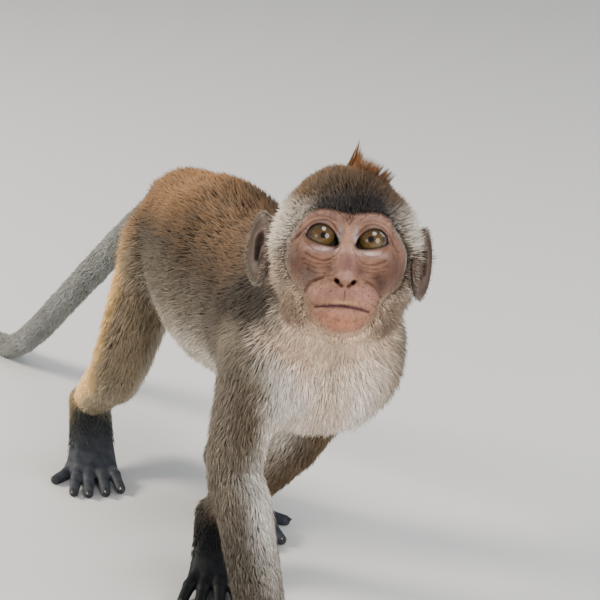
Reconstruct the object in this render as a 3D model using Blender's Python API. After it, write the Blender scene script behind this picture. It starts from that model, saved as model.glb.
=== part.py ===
"""A juvenile long-tailed macaque in a walking step with its head raised, life-size, as a still museum model.

The animal faces -Y and its left side is +X. Its hands, feet and the end of its tail stand on z = 0, and
the middle of its bounding box is over the origin. Lengths below are in centimetres, and CM turns them into
metres. Every size is taken to the tips of the coat. The flesh is a field of balls and tubes that run
smoothly into each other. It is meshed whole, thinned out, levelled on the floor, and parted with thin cuts
where a joint or a limb begins. The eyeballs sit in open sockets.
"""

import math

import bmesh
import bpy
import numpy as np
import openvdb
from mathutils import Matrix, Vector

CM = 0.01
SIDES = {"right": -1.0, "left": 1.0}

# Trunk: the middle of each mass, and its half width, half length and half height.
CHEST = Vector((0.0, -6.0, 18.7))
CHEST_SIZE = (4.5, 6.8, 5.3)
BREAST = Vector((0.8, -9.2, 17.0))
BREAST_SIZE = (4.9, 4.3, 4.3)
BELLY = Vector((0.0, 2.2, 18.3))
BELLY_SIZE = (4.3, 8.6, 5.95)
RUMP = Vector((0.1, 8.6, 18.9))
RUMP_SIZE = (2.7, 4.4, 4.2)
NAPE = Vector((-0.1, -9.0, 19.8))
NAPE_RADIUS = 4.4
THROAT_RADIUS = 3.3

# Head: its centre, and how far it is turned, raised and rolled, in degrees.
HEAD = Vector((-1.5, -17.0, 26.0))
HEAD_YAW = -21.5
HEAD_PITCH = 24.0
HEAD_ROLL = 6.5

# Places in the head's own frame: X to its left, -Y out of the face, Z to the crown.
EYE = (1.25, -2.35, 0.42)
EYE_RADIUS = 0.88
EAR = (4.1, 1.25, -0.2)
EAR_SIZE = (0.34, 1.25, 1.85)
EAR_FLARE = 27.0
EAR_HOLLOW = (0.36, 0.85, 1.4)
TOPKNOT = ((0.2, 0.9, 3.9), (0.34, 0.5, 5.55))

# Joints of the limbs. The right hand and the left foot are forward.
SHOULDER = {"right": Vector((-3.3, -10.8, 18.4)), "left": Vector((3.4, -9.0, 18.0))}
ELBOW = {"right": Vector((-4.3, -9.2, 11.9)), "left": Vector((1.6, -5.0, 10.6))}
WRIST = {"right": Vector((-4.4, -13.4, 3.4)), "left": Vector((-1.4, 1.0, 3.3))}
KNUCKLES = {"right": Vector((-4.7, -15.9, 0.85)), "left": Vector((-2.7, -1.6, 0.85))}
HIP = {"right": Vector((-1.7, 9.9, 17.4)), "left": Vector((2.0, 9.3, 17.4))}
KNEE = {"right": Vector((-4.6, 9.8, 10.1)), "left": Vector((3.9, 3.2, 10.9))}
ANKLE = {"right": Vector((-3.8, 18.4, 4.6)), "left": Vector((2.2, 8.6, 3.6))}
BALL = {"right": Vector((-4.4, 16.2, 0.85)), "left": Vector((1.9, 4.8, 0.85))}

# Digits: how far each is fanned from the middle, and how long it is, from the inner side outwards.
FINGER_FAN = (-13.0, -4.0, 5.0, 15.0)
FINGER_LENGTH = (2.7, 3.2, 3.1, 2.5)
THUMB_LENGTH = 1.7
TOE_FAN = (-11.0, -4.0, 4.0, 12.0)
TOE_LENGTH = (2.7, 3.0, 3.0, 2.7)
BIG_TOE_LENGTH = 2.6
DIGIT_RADIUS = 0.42

# Tail, from the rump to the tip, with the radius of its coat at each point.
TAIL = (
    (Vector((0.1, 11.6, 20.5)), 1.25),
    (Vector((-0.6, 19.0, 15.8)), 1.08),
    (Vector((-1.9, 27.5, 9.2)), 1.02),
    (Vector((-2.9, 34.5, 3.8)), 1.0),
    (Vector((-3.6, 40.0, 0.88)), 0.91),
    (Vector((-4.6, 47.0, 0.55)), 0.6),
)

GRID = 0.14  # how finely the field is sampled
BAND = 3.0  # how far from the surface the field is kept
TUBE_STEPS = 4
TRIANGLES = 5000  # in the flesh before it is parted
WELD = 0.08  # points nearer to each other than this become one
CUT = 0.04  # the width of a parting cut
EYE_GAP = 0.04
EAR_MARGIN = 0.14
ARM_SLEEVE_RADII = (2.5, 2.2)
ARM_SLEEVE_OFFSET = {"right": Vector((-0.5, 0.5, -1.2)), "left": Vector((0.4, 0.2, -1.2))}
THIGH_SLEEVE_RADII = (2.5, 2.4)
THIGH_SLEEVE_OFFSET = {"right": Vector((-0.9, 0.0, -1.0)), "left": Vector((0.8, -0.3, -1.0))}


def head_turn():
    yaw = Matrix.Rotation(math.radians(HEAD_YAW), 3, "Z")
    pitch = Matrix.Rotation(math.radians(-HEAD_PITCH), 3, "X")
    roll = Matrix.Rotation(math.radians(HEAD_ROLL), 3, "Y")
    return yaw @ pitch @ roll


HEAD_TURN = head_turn()


def in_head(x, y, z):
    return HEAD + HEAD_TURN @ Vector((x, y, z))


def level(vector):
    """The vector's direction along the floor."""
    return vector.to_2d().normalized().to_3d()


# Forms: each is a set of round cones, or one ellipsoid, and how softly it runs into the others.


def ball(centre, radii, blend=0.8, turn=None):
    return {"kind": "ball", "ends": (Vector(centre),), "size": radii, "turn": turn, "blend": blend}


def limb(start, end, first, last, blend=0.8):
    return {"kind": "limb", "ends": (Vector(start), Vector(end)), "size": (first, last), "blend": blend}


def tube(points, radii, blend=0.8):
    """A bent limb: a smooth path through the points, with its radius at each."""
    stations = [Vector((*point, radius)) for point, radius in zip(points, radii)]
    stations = [stations[0]] + stations + [stations[-1]]
    path = []
    for before, start, end, after in zip(stations, stations[1:], stations[2:], stations[3:]):
        for t in np.arange(0.0, 1.0, 1.0 / TUBE_STEPS):
            curve = start * 2 + (end - before) * t + (before * 2 - start * 5 + end * 4 - after) * t**2
            path.append((curve + (start * 3 - before - end * 3 + after) * t**3) / 2)
    path.append(stations[-1])
    ends, sizes = tuple(p.to_3d() for p in path), tuple(p.w for p in path)
    return {"kind": "limb", "ends": ends, "size": sizes, "blend": blend}


def trunk_forms():
    forms = [ball(CHEST, CHEST_SIZE, 2.0), ball(BREAST, BREAST_SIZE, 1.5)]
    forms += [ball(BELLY, BELLY_SIZE, 2.0), ball(RUMP, RUMP_SIZE, 2.0)]
    for side, sign in SIDES.items():
        forms.append(ball(SHOULDER[side] + Vector((-0.5 * sign, 1.2, -0.4)), (1.9, 3.2, 3.8), 1.5))
    forms.append(limb(NAPE, in_head(0.0, 1.8, -0.8), NAPE_RADIUS, THROAT_RADIUS, 1.5))
    return forms


def head_forms():
    forms = [
        ball(in_head(0.0, 1.0, 1.1), (3.25, 4.1, 3.25), 1.0, HEAD_TURN),
        ball(in_head(0.0, -0.3, -0.4), (3.8, 2.3, 2.8), 1.2, HEAD_TURN),
        ball(in_head(0.0, -0.5, -2.0), (3.3, 2.5, 2.7), 1.0, HEAD_TURN),
        ball(in_head(0.0, -2.4, 1.35), (2.1, 0.8, 0.5), 1.0, HEAD_TURN),
        ball(in_head(0.0, -1.6, -3.2), (2.7, 2.0, 1.6), 1.2, HEAD_TURN),
        ball(in_head(0.0, -2.7, -2.2), (2.0, 1.8, 1.6), 1.4, HEAD_TURN),
        ball(in_head(0.0, -3.4, -2.9), (1.6, 1.35, 1.3), 0.8, HEAD_TURN),
        limb(in_head(0.0, -2.5, -3.2), in_head(0.0, -3.2, -3.6), 1.3, 1.1, 0.8),
        limb(in_head(0.0, -2.8, 0.4), in_head(0.0, -4.45, -1.6), 0.48, 0.45, 0.5),
        limb(in_head(*TOPKNOT[0]), in_head(*TOPKNOT[1]), 0.55, 0.22, 0.5),
    ]
    for sign in SIDES.values():
        forms.append(ball(in_head(1.7 * sign, -2.2, -0.85), (1.0, 0.9, 0.75), 0.8, HEAD_TURN))
    return forms


def ear_turn(sign):
    """The ear's own frame: X out of its hollow, which faces outwards and a little forward."""
    return HEAD_TURN @ Matrix.Rotation(math.radians(-EAR_FLARE * sign), 3, "Z")


def ear_middle(sign):
    return in_head(EAR[0] * sign, *EAR[1:])


def ear_forms():
    return [ball(ear_middle(sign), EAR_SIZE, 0.15, ear_turn(sign)) for sign in SIDES.values()]


def ear_hollows():
    hollows = []
    for sign in SIDES.values():
        turn = ear_turn(sign)
        centre = ear_middle(sign) + turn @ Vector((EAR_SIZE[0] * sign, 0.1, 0.1))
        hollows.append(ball(centre, EAR_HOLLOW, 0.2, turn))
    return hollows


def digit_forms(root, knuckles, side, fan, lengths, inner_length):
    """Four digits from the wrist or ankle over the knuckles, and a thumb or big toe on the inner side."""
    forward = level(knuckles - root)
    inward = Vector((0.0, 0.0, 1.0)).cross(forward) * SIDES[side]
    forms = []
    for place, angle, length in zip((1.0, 0.35, -0.35, -1.0), fan, lengths):
        heading = forward * math.cos(math.radians(angle)) - inward * math.sin(math.radians(angle))
        knuckle = knuckles + inward * place * 0.95
        middle = knuckle + heading * (0.35 + length * 0.5)
        middle.z = 0.66
        end = knuckle + heading * (0.35 + length)
        end.z = 0.28
        path = (root + inward * place * 0.3, knuckle, middle, end)
        forms.append(tube(path, (0.85, 0.6, DIGIT_RADIUS, DIGIT_RADIUS * 0.85), 0.3))
    start = root.lerp(knuckles, 0.75) + inward * 1.35
    start.z = 0.75
    end = start + (forward * 0.75 + inward * 0.66) * inner_length * 0.75
    end.z = 0.3
    forms.append(tube((root + inward * 0.3, start, end), (0.8, 0.52, 0.38), 0.3))
    forms.append(ball(knuckles - forward * 0.3, (1.25, 1.1, 0.93), 0.4))
    return forms


def arm_forms(side):
    shoulder, elbow, wrist = SHOULDER[side], ELBOW[side], WRIST[side]
    arm = tube((shoulder, elbow, elbow.lerp(wrist, 0.35), wrist), (2.2, 1.6, 1.6, 1.1), 1.2)
    return [arm] + digit_forms(wrist, KNUCKLES[side], side, FINGER_FAN, FINGER_LENGTH, THUMB_LENGTH)


def leg_forms(side):
    hip, knee, ankle, toes = HIP[side], KNEE[side], ANKLE[side], BALL[side]
    heel = ankle + level(ankle - toes) * 1.2 - Vector((0.0, 0.0, 0.8))
    thigh, calf = hip.lerp(knee, 0.5), knee.lerp(ankle, 0.35)
    forms = [
        ball(hip, (1.3, 2.5, 3.1), 1.5),
        tube((hip, thigh, knee, calf, ankle), (2.4, 2.1, 1.75, 1.55, 1.0), 1.2),
        limb(ankle, heel, 0.95, 0.75, 0.5),
        limb(heel, toes, 0.75, 0.75, 0.5),
    ]
    return forms + digit_forms(ankle, toes, side, TOE_FAN, TOE_LENGTH, BIG_TOE_LENGTH)


def all_forms():
    forms = trunk_forms() + head_forms() + ear_forms()
    for side in SIDES:
        forms += arm_forms(side) + leg_forms(side)
    return forms + [tube(*zip(*TAIL), 0.8)]


# The field: roughly how far each point of a grid lies outside the forms, in cm.


def ball_distance(form, x, y, z):
    centre, turn = form["ends"][0], form["turn"] or Matrix.Identity(3)
    offset = (x - centre.x, y - centre.y, z - centre.z)
    local = [sum(turn[row][column] * offset[row] for row in range(3)) for column in range(3)]
    near = np.sqrt(sum((p / r) ** 2 for p, r in zip(local, form["size"])))
    slope = np.sqrt(sum((p / r**2) ** 2 for p, r in zip(local, form["size"])))
    return near * (near - 1.0) / np.maximum(slope, 1e-6)


def cone_distance(start, end, first, last, x, y, z):
    along = end - start
    u, v, w = x - start.x, y - start.y, z - start.z
    t = np.clip((u * along.x + v * along.y + w * along.z) / along.length_squared, 0.0, 1.0)
    reach = np.sqrt((u - t * along.x) ** 2 + (v - t * along.y) ** 2 + (w - t * along.z) ** 2)
    return reach - (first + t * (last - first))


def window(points, reach, axes):
    """The part of the grid within reach of the points, as slices."""
    lows = [min(p[i] for p in points) - reach for i in range(3)]
    highs = [max(p[i] for p in points) + reach for i in range(3)]
    return tuple(slice(*np.searchsorted(a, span)) for a, span in zip(axes, zip(lows, highs)))


def grid_in(axes, cut):
    return np.meshgrid(*(a[c] for a, c in zip(axes, cut)), indexing="ij", sparse=True)


def form_distance(form, room, axes, cut):
    if form["kind"] == "ball":
        return ball_distance(form, *grid_in(axes, cut)).astype(np.float32)
    near = [a[c] for a, c in zip(axes, cut)]
    own = np.full([len(a) for a in near], BAND, np.float32)
    for start, end, first, last in zip(form["ends"], form["ends"][1:], form["size"], form["size"][1:]):
        part = window((start, end), max(first, last) + room, near)
        own[part] = np.minimum(own[part], cone_distance(start, end, first, last, *grid_in(near, part)))
    return own


def field(forms, hollows, axes):
    """The forms joined by a smooth minimum, less the hollows."""
    values = np.full([len(a) for a in axes], BAND, np.float32)
    for form, sign in [(form, 1.0) for form in forms] + [(hollow, -1.0) for hollow in hollows]:
        blend, room = form["blend"], form["blend"] + 2 * GRID
        cut = window(form["ends"], max(form["size"]) + room, axes)
        own = form_distance(form, room, axes, cut)
        here = values[cut] * sign
        overlap = np.maximum(blend - np.abs(here - own), 0.0) / blend
        values[cut] = (np.minimum(here, own) - overlap**2 * blend / 4) * sign
    return values


def surface(forms, hollows):
    """The forms' common surface, as points in cm, triangles and quads."""
    lows = [min(min(e[i] for e in f["ends"]) - max(f["size"]) for f in forms) - 1.0 for i in range(3)]
    highs = [max(max(e[i] for e in f["ends"]) + max(f["size"]) for f in forms) + 1.0 for i in range(3)]
    axes = [np.arange(low, high, GRID) for low, high in zip(lows, highs)]
    grid = openvdb.FloatGrid(BAND)
    grid.copyFromArray(np.clip(field(forms, hollows, axes), -BAND, BAND))
    points, triangles, quads = grid.convertToPolygons(isovalue=0.0, adaptivity=0.0)
    return np.array(lows) + points * GRID, triangles, quads


def make_object(name, mesh):
    obj = bpy.data.objects.new(name, mesh)
    bpy.context.scene.collection.objects.link(obj)
    return obj


def apply_modifiers(obj):
    graph = bpy.context.evaluated_depsgraph_get()
    mesh = bpy.data.meshes.new_from_object(obj.evaluated_get(graph))
    obj.modifiers.clear()
    obj.data = mesh


def combine(obj, other, operation):
    change = obj.modifiers.new(operation.lower(), "BOOLEAN")
    change.object, change.operation, change.solver = other, operation, "EXACT"
    apply_modifiers(obj)


def cut_away(obj, cutter):
    combine(obj, cutter, "DIFFERENCE")
    bpy.data.objects.remove(cutter)


def shaped(name, build, matrix):
    """An object from a bmesh primitive, moved into place."""
    work = bmesh.new()
    build(work)
    bmesh.ops.transform(work, matrix=matrix, verts=work.verts)
    mesh = bpy.data.meshes.new(name)
    work.to_mesh(mesh)
    work.free()
    return make_object(name, mesh)


def place(centre, turn):
    return Matrix.Translation(centre * CM) @ turn.to_4x4()


def make_body():
    """The whole flesh in one mesh, thinned out and cut level where it stands."""
    points, triangles, quads = surface(all_forms(), ear_hollows())
    mesh = bpy.data.meshes.new("body")
    mesh.from_pydata((points * CM).tolist(), [], triangles.tolist() + quads[:, ::-1].tolist())
    body = make_object("body", mesh)
    thin = body.modifiers.new("thin", "DECIMATE")
    thin.ratio = TRIANGLES / (len(triangles) + 2 * len(quads))
    apply_modifiers(body)
    work = bmesh.new()
    work.from_mesh(body.data)
    everything = work.verts[:] + work.edges[:] + work.faces[:]
    bmesh.ops.bisect_plane(work, geom=everything, plane_co=(0, 0, 0), plane_no=(0, 0, 1), clear_inner=True)
    bmesh.ops.holes_fill(work, edges=[e for e in work.edges if e.is_boundary])
    bmesh.ops.triangulate(work, faces=work.faces[:])
    work.to_mesh(body.data)
    work.free()
    return body


def eyeball(name, sign, radius):
    def build(work):
        bmesh.ops.create_uvsphere(work, u_segments=16, v_segments=10, radius=radius * CM)

    turn = HEAD_TURN @ Matrix.Rotation(math.radians(90.0), 3, "X")
    return shaped(name, build, place(in_head(EYE[0] * sign, *EYE[1:]), turn))


# Parting: thin discs across the limbs, tail and trunk, and sleeves that lift a limb or an ear from its root.


def crossings():
    """The discs, each by its middle, the way it faces and its half width."""
    cuts = [
        (in_head(0.0, 3.0, -2.6), NAPE - in_head(0.0, 0.6, -1.0), 6.7),
        (NAPE + Vector((-0.2, -1.7, 0.6)), Vector((-0.1, 0.85, -0.75)), 7.0),
        (Vector((0.0, -1.0, 18.4)), Vector((0.0, 1.0, 0.0)), 6.8),
    ]
    for side in SIDES:
        shoulder, elbow, wrist, knuckles = SHOULDER[side], ELBOW[side], WRIST[side], KNUCKLES[side]
        hip, knee, ankle = HIP[side], KNEE[side], ANKLE[side]
        cuts += [
            (elbow, (elbow - shoulder).normalized() + (wrist - elbow).normalized(), 2.3),
            (wrist, (wrist - elbow).normalized() + (knuckles - wrist).normalized(), 1.8),
            (knee, (knee - hip).normalized() + (ankle - knee).normalized(), 2.7),
            (ankle.lerp(knee, 0.12), ankle - knee, 1.9),
        ]
    (base, _), (upper, _), (middle, _), (lower, _), (floor, _) = TAIL[:5]
    first, second = base.lerp(upper, 0.42), upper.lerp(middle, 0.6)
    for centre, towards in ((first, upper), (second, middle), (lower, floor)):
        cuts.append((centre, towards - centre, 1.8))
    return cuts


def make_disc(centre, facing, half_width):
    def build(work):
        size = {"radius1": half_width * CM, "radius2": half_width * CM, "depth": CUT * CM}
        bmesh.ops.create_cone(work, cap_ends=True, segments=24, **size)

    return shaped("disc", build, place(centre, facing.to_track_quat("Z", "Y").to_matrix()))


def make_sleeve(start, end, radii, grown):
    """A closed round cone with ball ends, coarse and convex."""

    def build(work):
        for centre, radius in zip((start, end), radii):
            matrix = Matrix.Translation(centre * CM)
            bmesh.ops.create_icosphere(work, subdivisions=2, radius=(radius + grown) * CM, matrix=matrix)
        bmesh.ops.delete(work, geom=work.edges[:], context="EDGES_FACES")
        bmesh.ops.convex_hull(work, input=work.verts)
        bmesh.ops.delete(work, geom=[v for v in work.verts if not v.link_faces], context="VERTS")
        bmesh.ops.recalc_face_normals(work, faces=work.faces)

    return shaped("sleeve", build, Matrix.Identity(4))


def make_ear_sleeve(sign, grown):
    def build(work):
        bmesh.ops.create_icosphere(work, subdivisions=2, radius=CM)
        bmesh.ops.scale(work, vec=[size + EAR_MARGIN + grown for size in EAR_SIZE], verts=work.verts)

    return shaped("ear_sleeve", build, place(ear_middle(sign), ear_turn(sign)))


def lift_out(name, source, make):
    """Parts what lies in a sleeve from its source, with a thin gap, and returns it."""
    lifted = make_object(name, source.data.copy())
    sleeve = make(0.0)
    combine(lifted, sleeve, "INTERSECT")
    bpy.data.objects.remove(sleeve)
    cut_away(source, make(CUT))
    return lifted


def separate(body, middles):
    """One object for each body of the mesh, named by the nearest of the named middles."""
    bpy.context.view_layer.objects.active = body
    body.select_set(True)
    bpy.ops.mesh.separate(type="LOOSE")
    for piece in bpy.context.selected_objects:
        corners = [vertex.co / CM for vertex in piece.data.vertices]
        middle = sum(corners, Vector()) / len(corners)
        piece.name = min(middles, key=lambda name: (middles[name] - middle).length)


def weld(obj):
    work = bmesh.new()
    work.from_mesh(obj.data)
    bmesh.ops.remove_doubles(work, verts=work.verts, dist=WELD * CM)
    bmesh.ops.dissolve_degenerate(work, edges=work.edges, dist=0.1 * WELD * CM)
    bmesh.ops.triangulate(work, faces=work.faces[:])
    work.to_mesh(obj.data)
    work.free()


def piece_middles():
    """Roughly where the middle of each piece lies."""
    middles = {"head": in_head(0.0, -0.5, 0.0), "neck": NAPE.lerp(HEAD, 0.45)}
    middles["chest"], middles["abdomen"] = CHEST, BELLY
    for side in SIDES:
        middles["forearm_" + side] = ELBOW[side].lerp(WRIST[side], 0.5)
        middles["hand_" + side] = KNUCKLES[side]
        middles["shank_" + side] = KNEE[side].lerp(ANKLE[side], 0.45)
        middles["foot_" + side] = BALL[side]
    points = [point for point, _ in TAIL]
    middles["tail_upper"], middles["tail_middle"] = points[1], points[2].lerp(points[3], 0.4)
    middles["tail_lower"] = points[4]
    return middles


# Colours by the start of the node's name: red, green, blue, roughness.
COLOURS = {
    "eye": (0.20, 0.12, 0.03, 0.08),
    "ear": (0.10, 0.08, 0.07, 0.60),
    "hand": (0.03, 0.03, 0.035, 0.55),
    "foot": (0.03, 0.03, 0.035, 0.55),
    "tail": (0.14, 0.12, 0.10, 0.85),
    "forearm": (0.22, 0.18, 0.13, 0.85),
    "shank": (0.28, 0.24, 0.17, 0.85),
    "chest": (0.42, 0.36, 0.29, 0.85),
    "head": (0.28, 0.20, 0.15, 0.75),
}
COAT_COLOUR = (0.24, 0.17, 0.10, 0.85)


def finish_piece(obj):
    red, green, blue, roughness = COLOURS.get(obj.name.split("_")[0], COAT_COLOUR)
    material = bpy.data.materials.new(obj.name)
    material.use_nodes = True
    shader = material.node_tree.nodes["Principled BSDF"]
    shader.inputs["Base Color"].default_value = (red, green, blue, 1.0)
    shader.inputs["Roughness"].default_value = roughness
    shader.inputs["Metallic"].default_value = 0.0
    obj.data.materials.clear()
    obj.data.materials.append(material)
    obj.data.shade_smooth()
    obj.data.set_sharp_from_angle(angle=math.radians(50.0))


def part_limbs_and_ears():
    pieces = bpy.data.objects
    for side, sign in SIDES.items():
        lift_out("ear_" + side, pieces["head"], lambda grown: make_ear_sleeve(sign, grown))
        top = SHOULDER[side] + ARM_SLEEVE_OFFSET[side]
        arm = (top, ELBOW[side], ARM_SLEEVE_RADII)
        lift_out("upper_arm_" + side, pieces["chest"], lambda grown: make_sleeve(*arm, grown))
        top = HIP[side] + THIGH_SLEEVE_OFFSET[side]
        thigh = (top, KNEE[side], THIGH_SLEEVE_RADII)
        lift_out("thigh_" + side, pieces["abdomen"], lambda grown: make_sleeve(*thigh, grown))


def centre_over_origin(pieces):
    corners = [vertex.co for obj in pieces for vertex in obj.data.vertices]
    middle = [(min(c[i] for c in corners) + max(c[i] for c in corners)) / 2 for i in range(2)]
    for obj in pieces:
        obj.data.transform(Matrix.Translation((-middle[0], -middle[1], 0.0)))


for old in list(bpy.data.objects):
    bpy.data.objects.remove(old)
whole = make_body()
for direction in SIDES.values():
    cut_away(whole, eyeball("socket", direction, EYE_RADIUS + EYE_GAP))
for crossing in crossings():
    cut_away(whole, make_disc(*crossing))
separate(whole, piece_middles())
part_limbs_and_ears()
for piece in bpy.data.objects:
    weld(piece)
for side_name, direction in SIDES.items():
    eyeball("eye_" + side_name, direction, EYE_RADIUS)
centre_over_origin(bpy.data.objects)
for piece in bpy.data.objects:
    finish_piece(piece)
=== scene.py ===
"""A young long-tailed macaque in a walking step with its head raised: skin, eyes, nails and coat over the solids.

Lengths are in centimetres in the animal's own frame, which CM and to_frame turn into the shared frame's metres. One
skin is a field of balls and tubes, smaller than the solids by the depth of the coat. The coat is closed bent locks
that root in the skin, lie along the body and reach the solids' outline with their tips.
"""

import math
from collections import namedtuple

import bpy
import numpy as np
import openvdb
from mathutils import Matrix, Vector


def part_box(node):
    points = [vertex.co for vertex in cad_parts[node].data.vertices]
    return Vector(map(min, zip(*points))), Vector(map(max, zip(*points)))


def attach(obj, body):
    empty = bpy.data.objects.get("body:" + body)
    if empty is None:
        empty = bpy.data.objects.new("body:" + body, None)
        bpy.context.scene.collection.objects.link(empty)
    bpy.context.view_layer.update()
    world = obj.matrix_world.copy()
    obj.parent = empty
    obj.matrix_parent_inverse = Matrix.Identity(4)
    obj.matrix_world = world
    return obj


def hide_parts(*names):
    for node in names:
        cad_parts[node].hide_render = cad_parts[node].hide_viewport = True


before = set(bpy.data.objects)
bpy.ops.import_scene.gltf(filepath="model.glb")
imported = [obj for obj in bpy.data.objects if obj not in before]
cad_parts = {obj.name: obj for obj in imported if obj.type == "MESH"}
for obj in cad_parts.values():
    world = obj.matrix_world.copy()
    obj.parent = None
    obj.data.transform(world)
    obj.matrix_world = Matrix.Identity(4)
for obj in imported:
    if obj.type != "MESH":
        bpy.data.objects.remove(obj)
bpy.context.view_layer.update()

CM = 0.01
SIDES = {"right": -1.0, "left": 1.0}
UP = Vector((0.0, 0.0, 1.0))
CHANCE = np.random.default_rng(11)


def vectors(*points):
    return [Vector(point) for point in points]


# Trunk, head, limbs and tail, as in the solids. The trunk is a chest, a breast, a belly and a rump with their blends.
TRUNK = (
    ((0.0, -6.0, 18.7), (4.5, 6.8, 5.3), 2.0),
    ((0.8, -9.2, 17.0), (4.9, 4.3, 4.3), 1.5),
    ((0.0, 2.2, 18.3), (4.3, 8.6, 5.95), 2.0),
    ((0.1, 8.6, 18.9), (2.7, 4.4, 4.2), 2.0),
)
NAPE, NAPE_RADIUS, THROAT_RADIUS = Vector((-0.1, -9.0, 19.8)), 4.4, 3.3
HEAD = Vector((-1.5, -17.0, 26.0))
HEAD_YAW, HEAD_PITCH, HEAD_ROLL = -21.5, 24.0, 6.5
EYE, EYE_RADIUS = (1.25, -2.35, 0.42), 0.88
EAR, EAR_SIZE, EAR_FLARE = (4.1, 1.25, -0.2), (0.34, 1.25, 1.85), 27.0
EAR_HOLLOW = (0.36, 0.85, 1.4)
TOPKNOT = ((0.2, 0.9, 3.9), (0.34, 0.5, 5.55))
ARM = {  # shoulder, elbow, wrist and knuckles
    "right": vectors((-3.3, -10.8, 18.4), (-4.3, -9.2, 11.9), (-4.4, -13.4, 3.4), (-4.7, -15.9, 0.85)),
    "left": vectors((3.4, -9.0, 18.0), (1.6, -5.0, 10.6), (-1.4, 1.0, 3.3), (-2.7, -1.6, 0.85)),
}
LEG = {  # hip, knee, ankle and the ball of the foot
    "right": vectors((-1.7, 9.9, 17.4), (-4.6, 9.8, 10.1), (-3.8, 18.4, 4.6), (-4.4, 16.2, 0.85)),
    "left": vectors((2.0, 9.3, 17.4), (3.9, 3.2, 10.9), (2.2, 8.6, 3.6), (1.9, 4.8, 0.85)),
}
FINGERS = ((-13.0, -4.0, 5.0, 15.0), (2.7, 3.2, 3.1, 2.5), 1.7)  # angles and lengths, then the thumb's length
TOES = ((-11.0, -4.0, 4.0, 12.0), (2.7, 3.0, 3.0, 2.7), 2.6)
DIGIT_RADIUS, DIGIT_SPACING, DIGIT_START = 0.42, 0.95, 0.35
JOINT_HEIGHT, TIP_HEIGHT, THUMB_HEIGHT, THUMB_TIP = 0.66, 0.28, 0.75, 0.3
TAIL = vectors(
    (0.1, 11.6, 20.5), (-0.6, 19.0, 15.8), (-1.9, 27.5, 9.2), (-2.9, 34.5, 3.8), (-3.6, 40.0, 0.88), (-4.6, 47.0, 0.55)
)
TAIL_RADII = (1.25, 1.08, 1.02, 1.0, 0.91, 0.6)

# How deep the coat is over the skin.
TRUNK_COAT, NECK_COAT, TAIL_COAT, JOINT_COAT, BARE = 0.75, 0.7, 0.34, 0.6, 0.03
ARM_COAT, LEG_COAT = (0.55, 0.42, 0.34, 0.12), (0.6, 0.5, 0.42, 0.3, 0.1)
LID, SOCKET = 0.085, 0.1

# The field's sampling: coarse, and finer over the face and the digits, growing by GRADE of the way from there.
COARSE, BAND, GRADE, EYE_ROOM, TUBE_STEPS, CURVE_STEPS = 0.19, 3.0, 0.12, 1.6, 4, 6
FINE = (
    ((-5.6, 3.6, 0.075), (-5.2, 1.4, 0.047)),
    ((-19.5, -14.6, 0.09), (-22.6, -18.2, 0.047), (-5.0, 1.5, 0.11), (1.6, 8.0, 0.11), (13.0, 18.0, 0.11)),
    ((20.5, 29.0, 0.047), (-0.1, 1.6, 0.09)),
)


def head_turn():
    yaw = Matrix.Rotation(math.radians(HEAD_YAW), 3, "Z")
    pitch = Matrix.Rotation(math.radians(-HEAD_PITCH), 3, "X")
    roll = Matrix.Rotation(math.radians(HEAD_ROLL), 3, "Y")
    return yaw @ pitch @ roll


HEAD_TURN = head_turn()
TURN = np.array(HEAD_TURN)


def in_head(x, y, z):
    return HEAD + HEAD_TURN @ Vector((x, y, z))


def eye_middle(sign):
    return in_head(EYE[0] * sign, *EYE[1:])


eye_low, eye_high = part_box("eye_right")
SHIFT = (Vector(eye_low) + Vector(eye_high)) / 2 - eye_middle(-1.0) * CM


def to_frame(points):
    return np.asarray(points) * CM + np.array(SHIFT)


def head_places(points):
    """Places in the head's own frame."""
    return (points - np.array(HEAD)) @ TURN


def level(vector):
    return vector.to_2d().normalized().to_3d()


def fit(values):
    return np.clip(values, 0.0, 1.0)


def columns(*values):
    return np.stack(values, axis=1)


def hill(offset, width, power=2):
    """A smooth hill: 1 in its middle, falling to nothing over its width."""
    return np.exp(-((offset / width) ** power))


# The skin's field: forms that blend into those before them, balls with one end and limbs with two or more.

Form = namedtuple("Form", "ends size blend cut turn")


def under(coat, sizes):
    """The skin's sizes under a coat of one depth, or of one for each size."""
    coats = coat if isinstance(coat, tuple) else (coat,) * len(sizes)
    return tuple(r - c for r, c in zip(sizes, coats))


def ball(centre, radii, blend, turn=None, coat=0.0, cut=False):
    return Form((Vector(centre),), under(coat, radii), blend, cut, turn)


def limb(start, end, first, last, blend, cut=False):
    return Form((start, end), (first, last), blend, cut, None)


def smooth_path(points, steps):
    """A smooth path through points, of any number of coordinates."""
    stops = [Vector(point) for point in points]
    stops = [stops[0], *stops, stops[-1]]
    path = []
    for before, start, end, after in zip(stops, stops[1:], stops[2:], stops[3:]):
        for t in np.arange(0.0, 1.0, 1.0 / steps):
            bend = start * 2 + (end - before) * t + (before * 2 - start * 5 + end * 4 - after) * t**2
            path.append((bend + (start * 3 - before - end * 3 + after) * t**3) / 2)
    return path + [stops[-1]]


def tube(points, radii, blend):
    path = smooth_path([(*point, radius) for point, radius in zip(points, radii)], TUBE_STEPS)
    return Form(tuple(p.to_3d() for p in path), tuple(p.w for p in path), blend, False, None)


def trunk_forms():
    forms = [ball(*row, coat=TRUNK_COAT) for row in TRUNK]
    for side, sign in SIDES.items():
        forms.append(ball(ARM[side][0] + Vector((-0.5 * sign, 1.2, -0.4)), (1.9, 3.2, 3.8), 1.5, coat=JOINT_COAT))
    return forms + [limb(NAPE, in_head(0.0, 1.8, -0.8), NAPE_RADIUS - NECK_COAT, THROAT_RADIUS - NECK_COAT, 1.5)]


def head_bar(sign, start, end, *shape):
    """A limb in the head's frame, mirrored to a side by its sign."""
    return limb(*(in_head(x * sign, y, z) for x, y, z in (start, end)), *shape)


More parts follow.
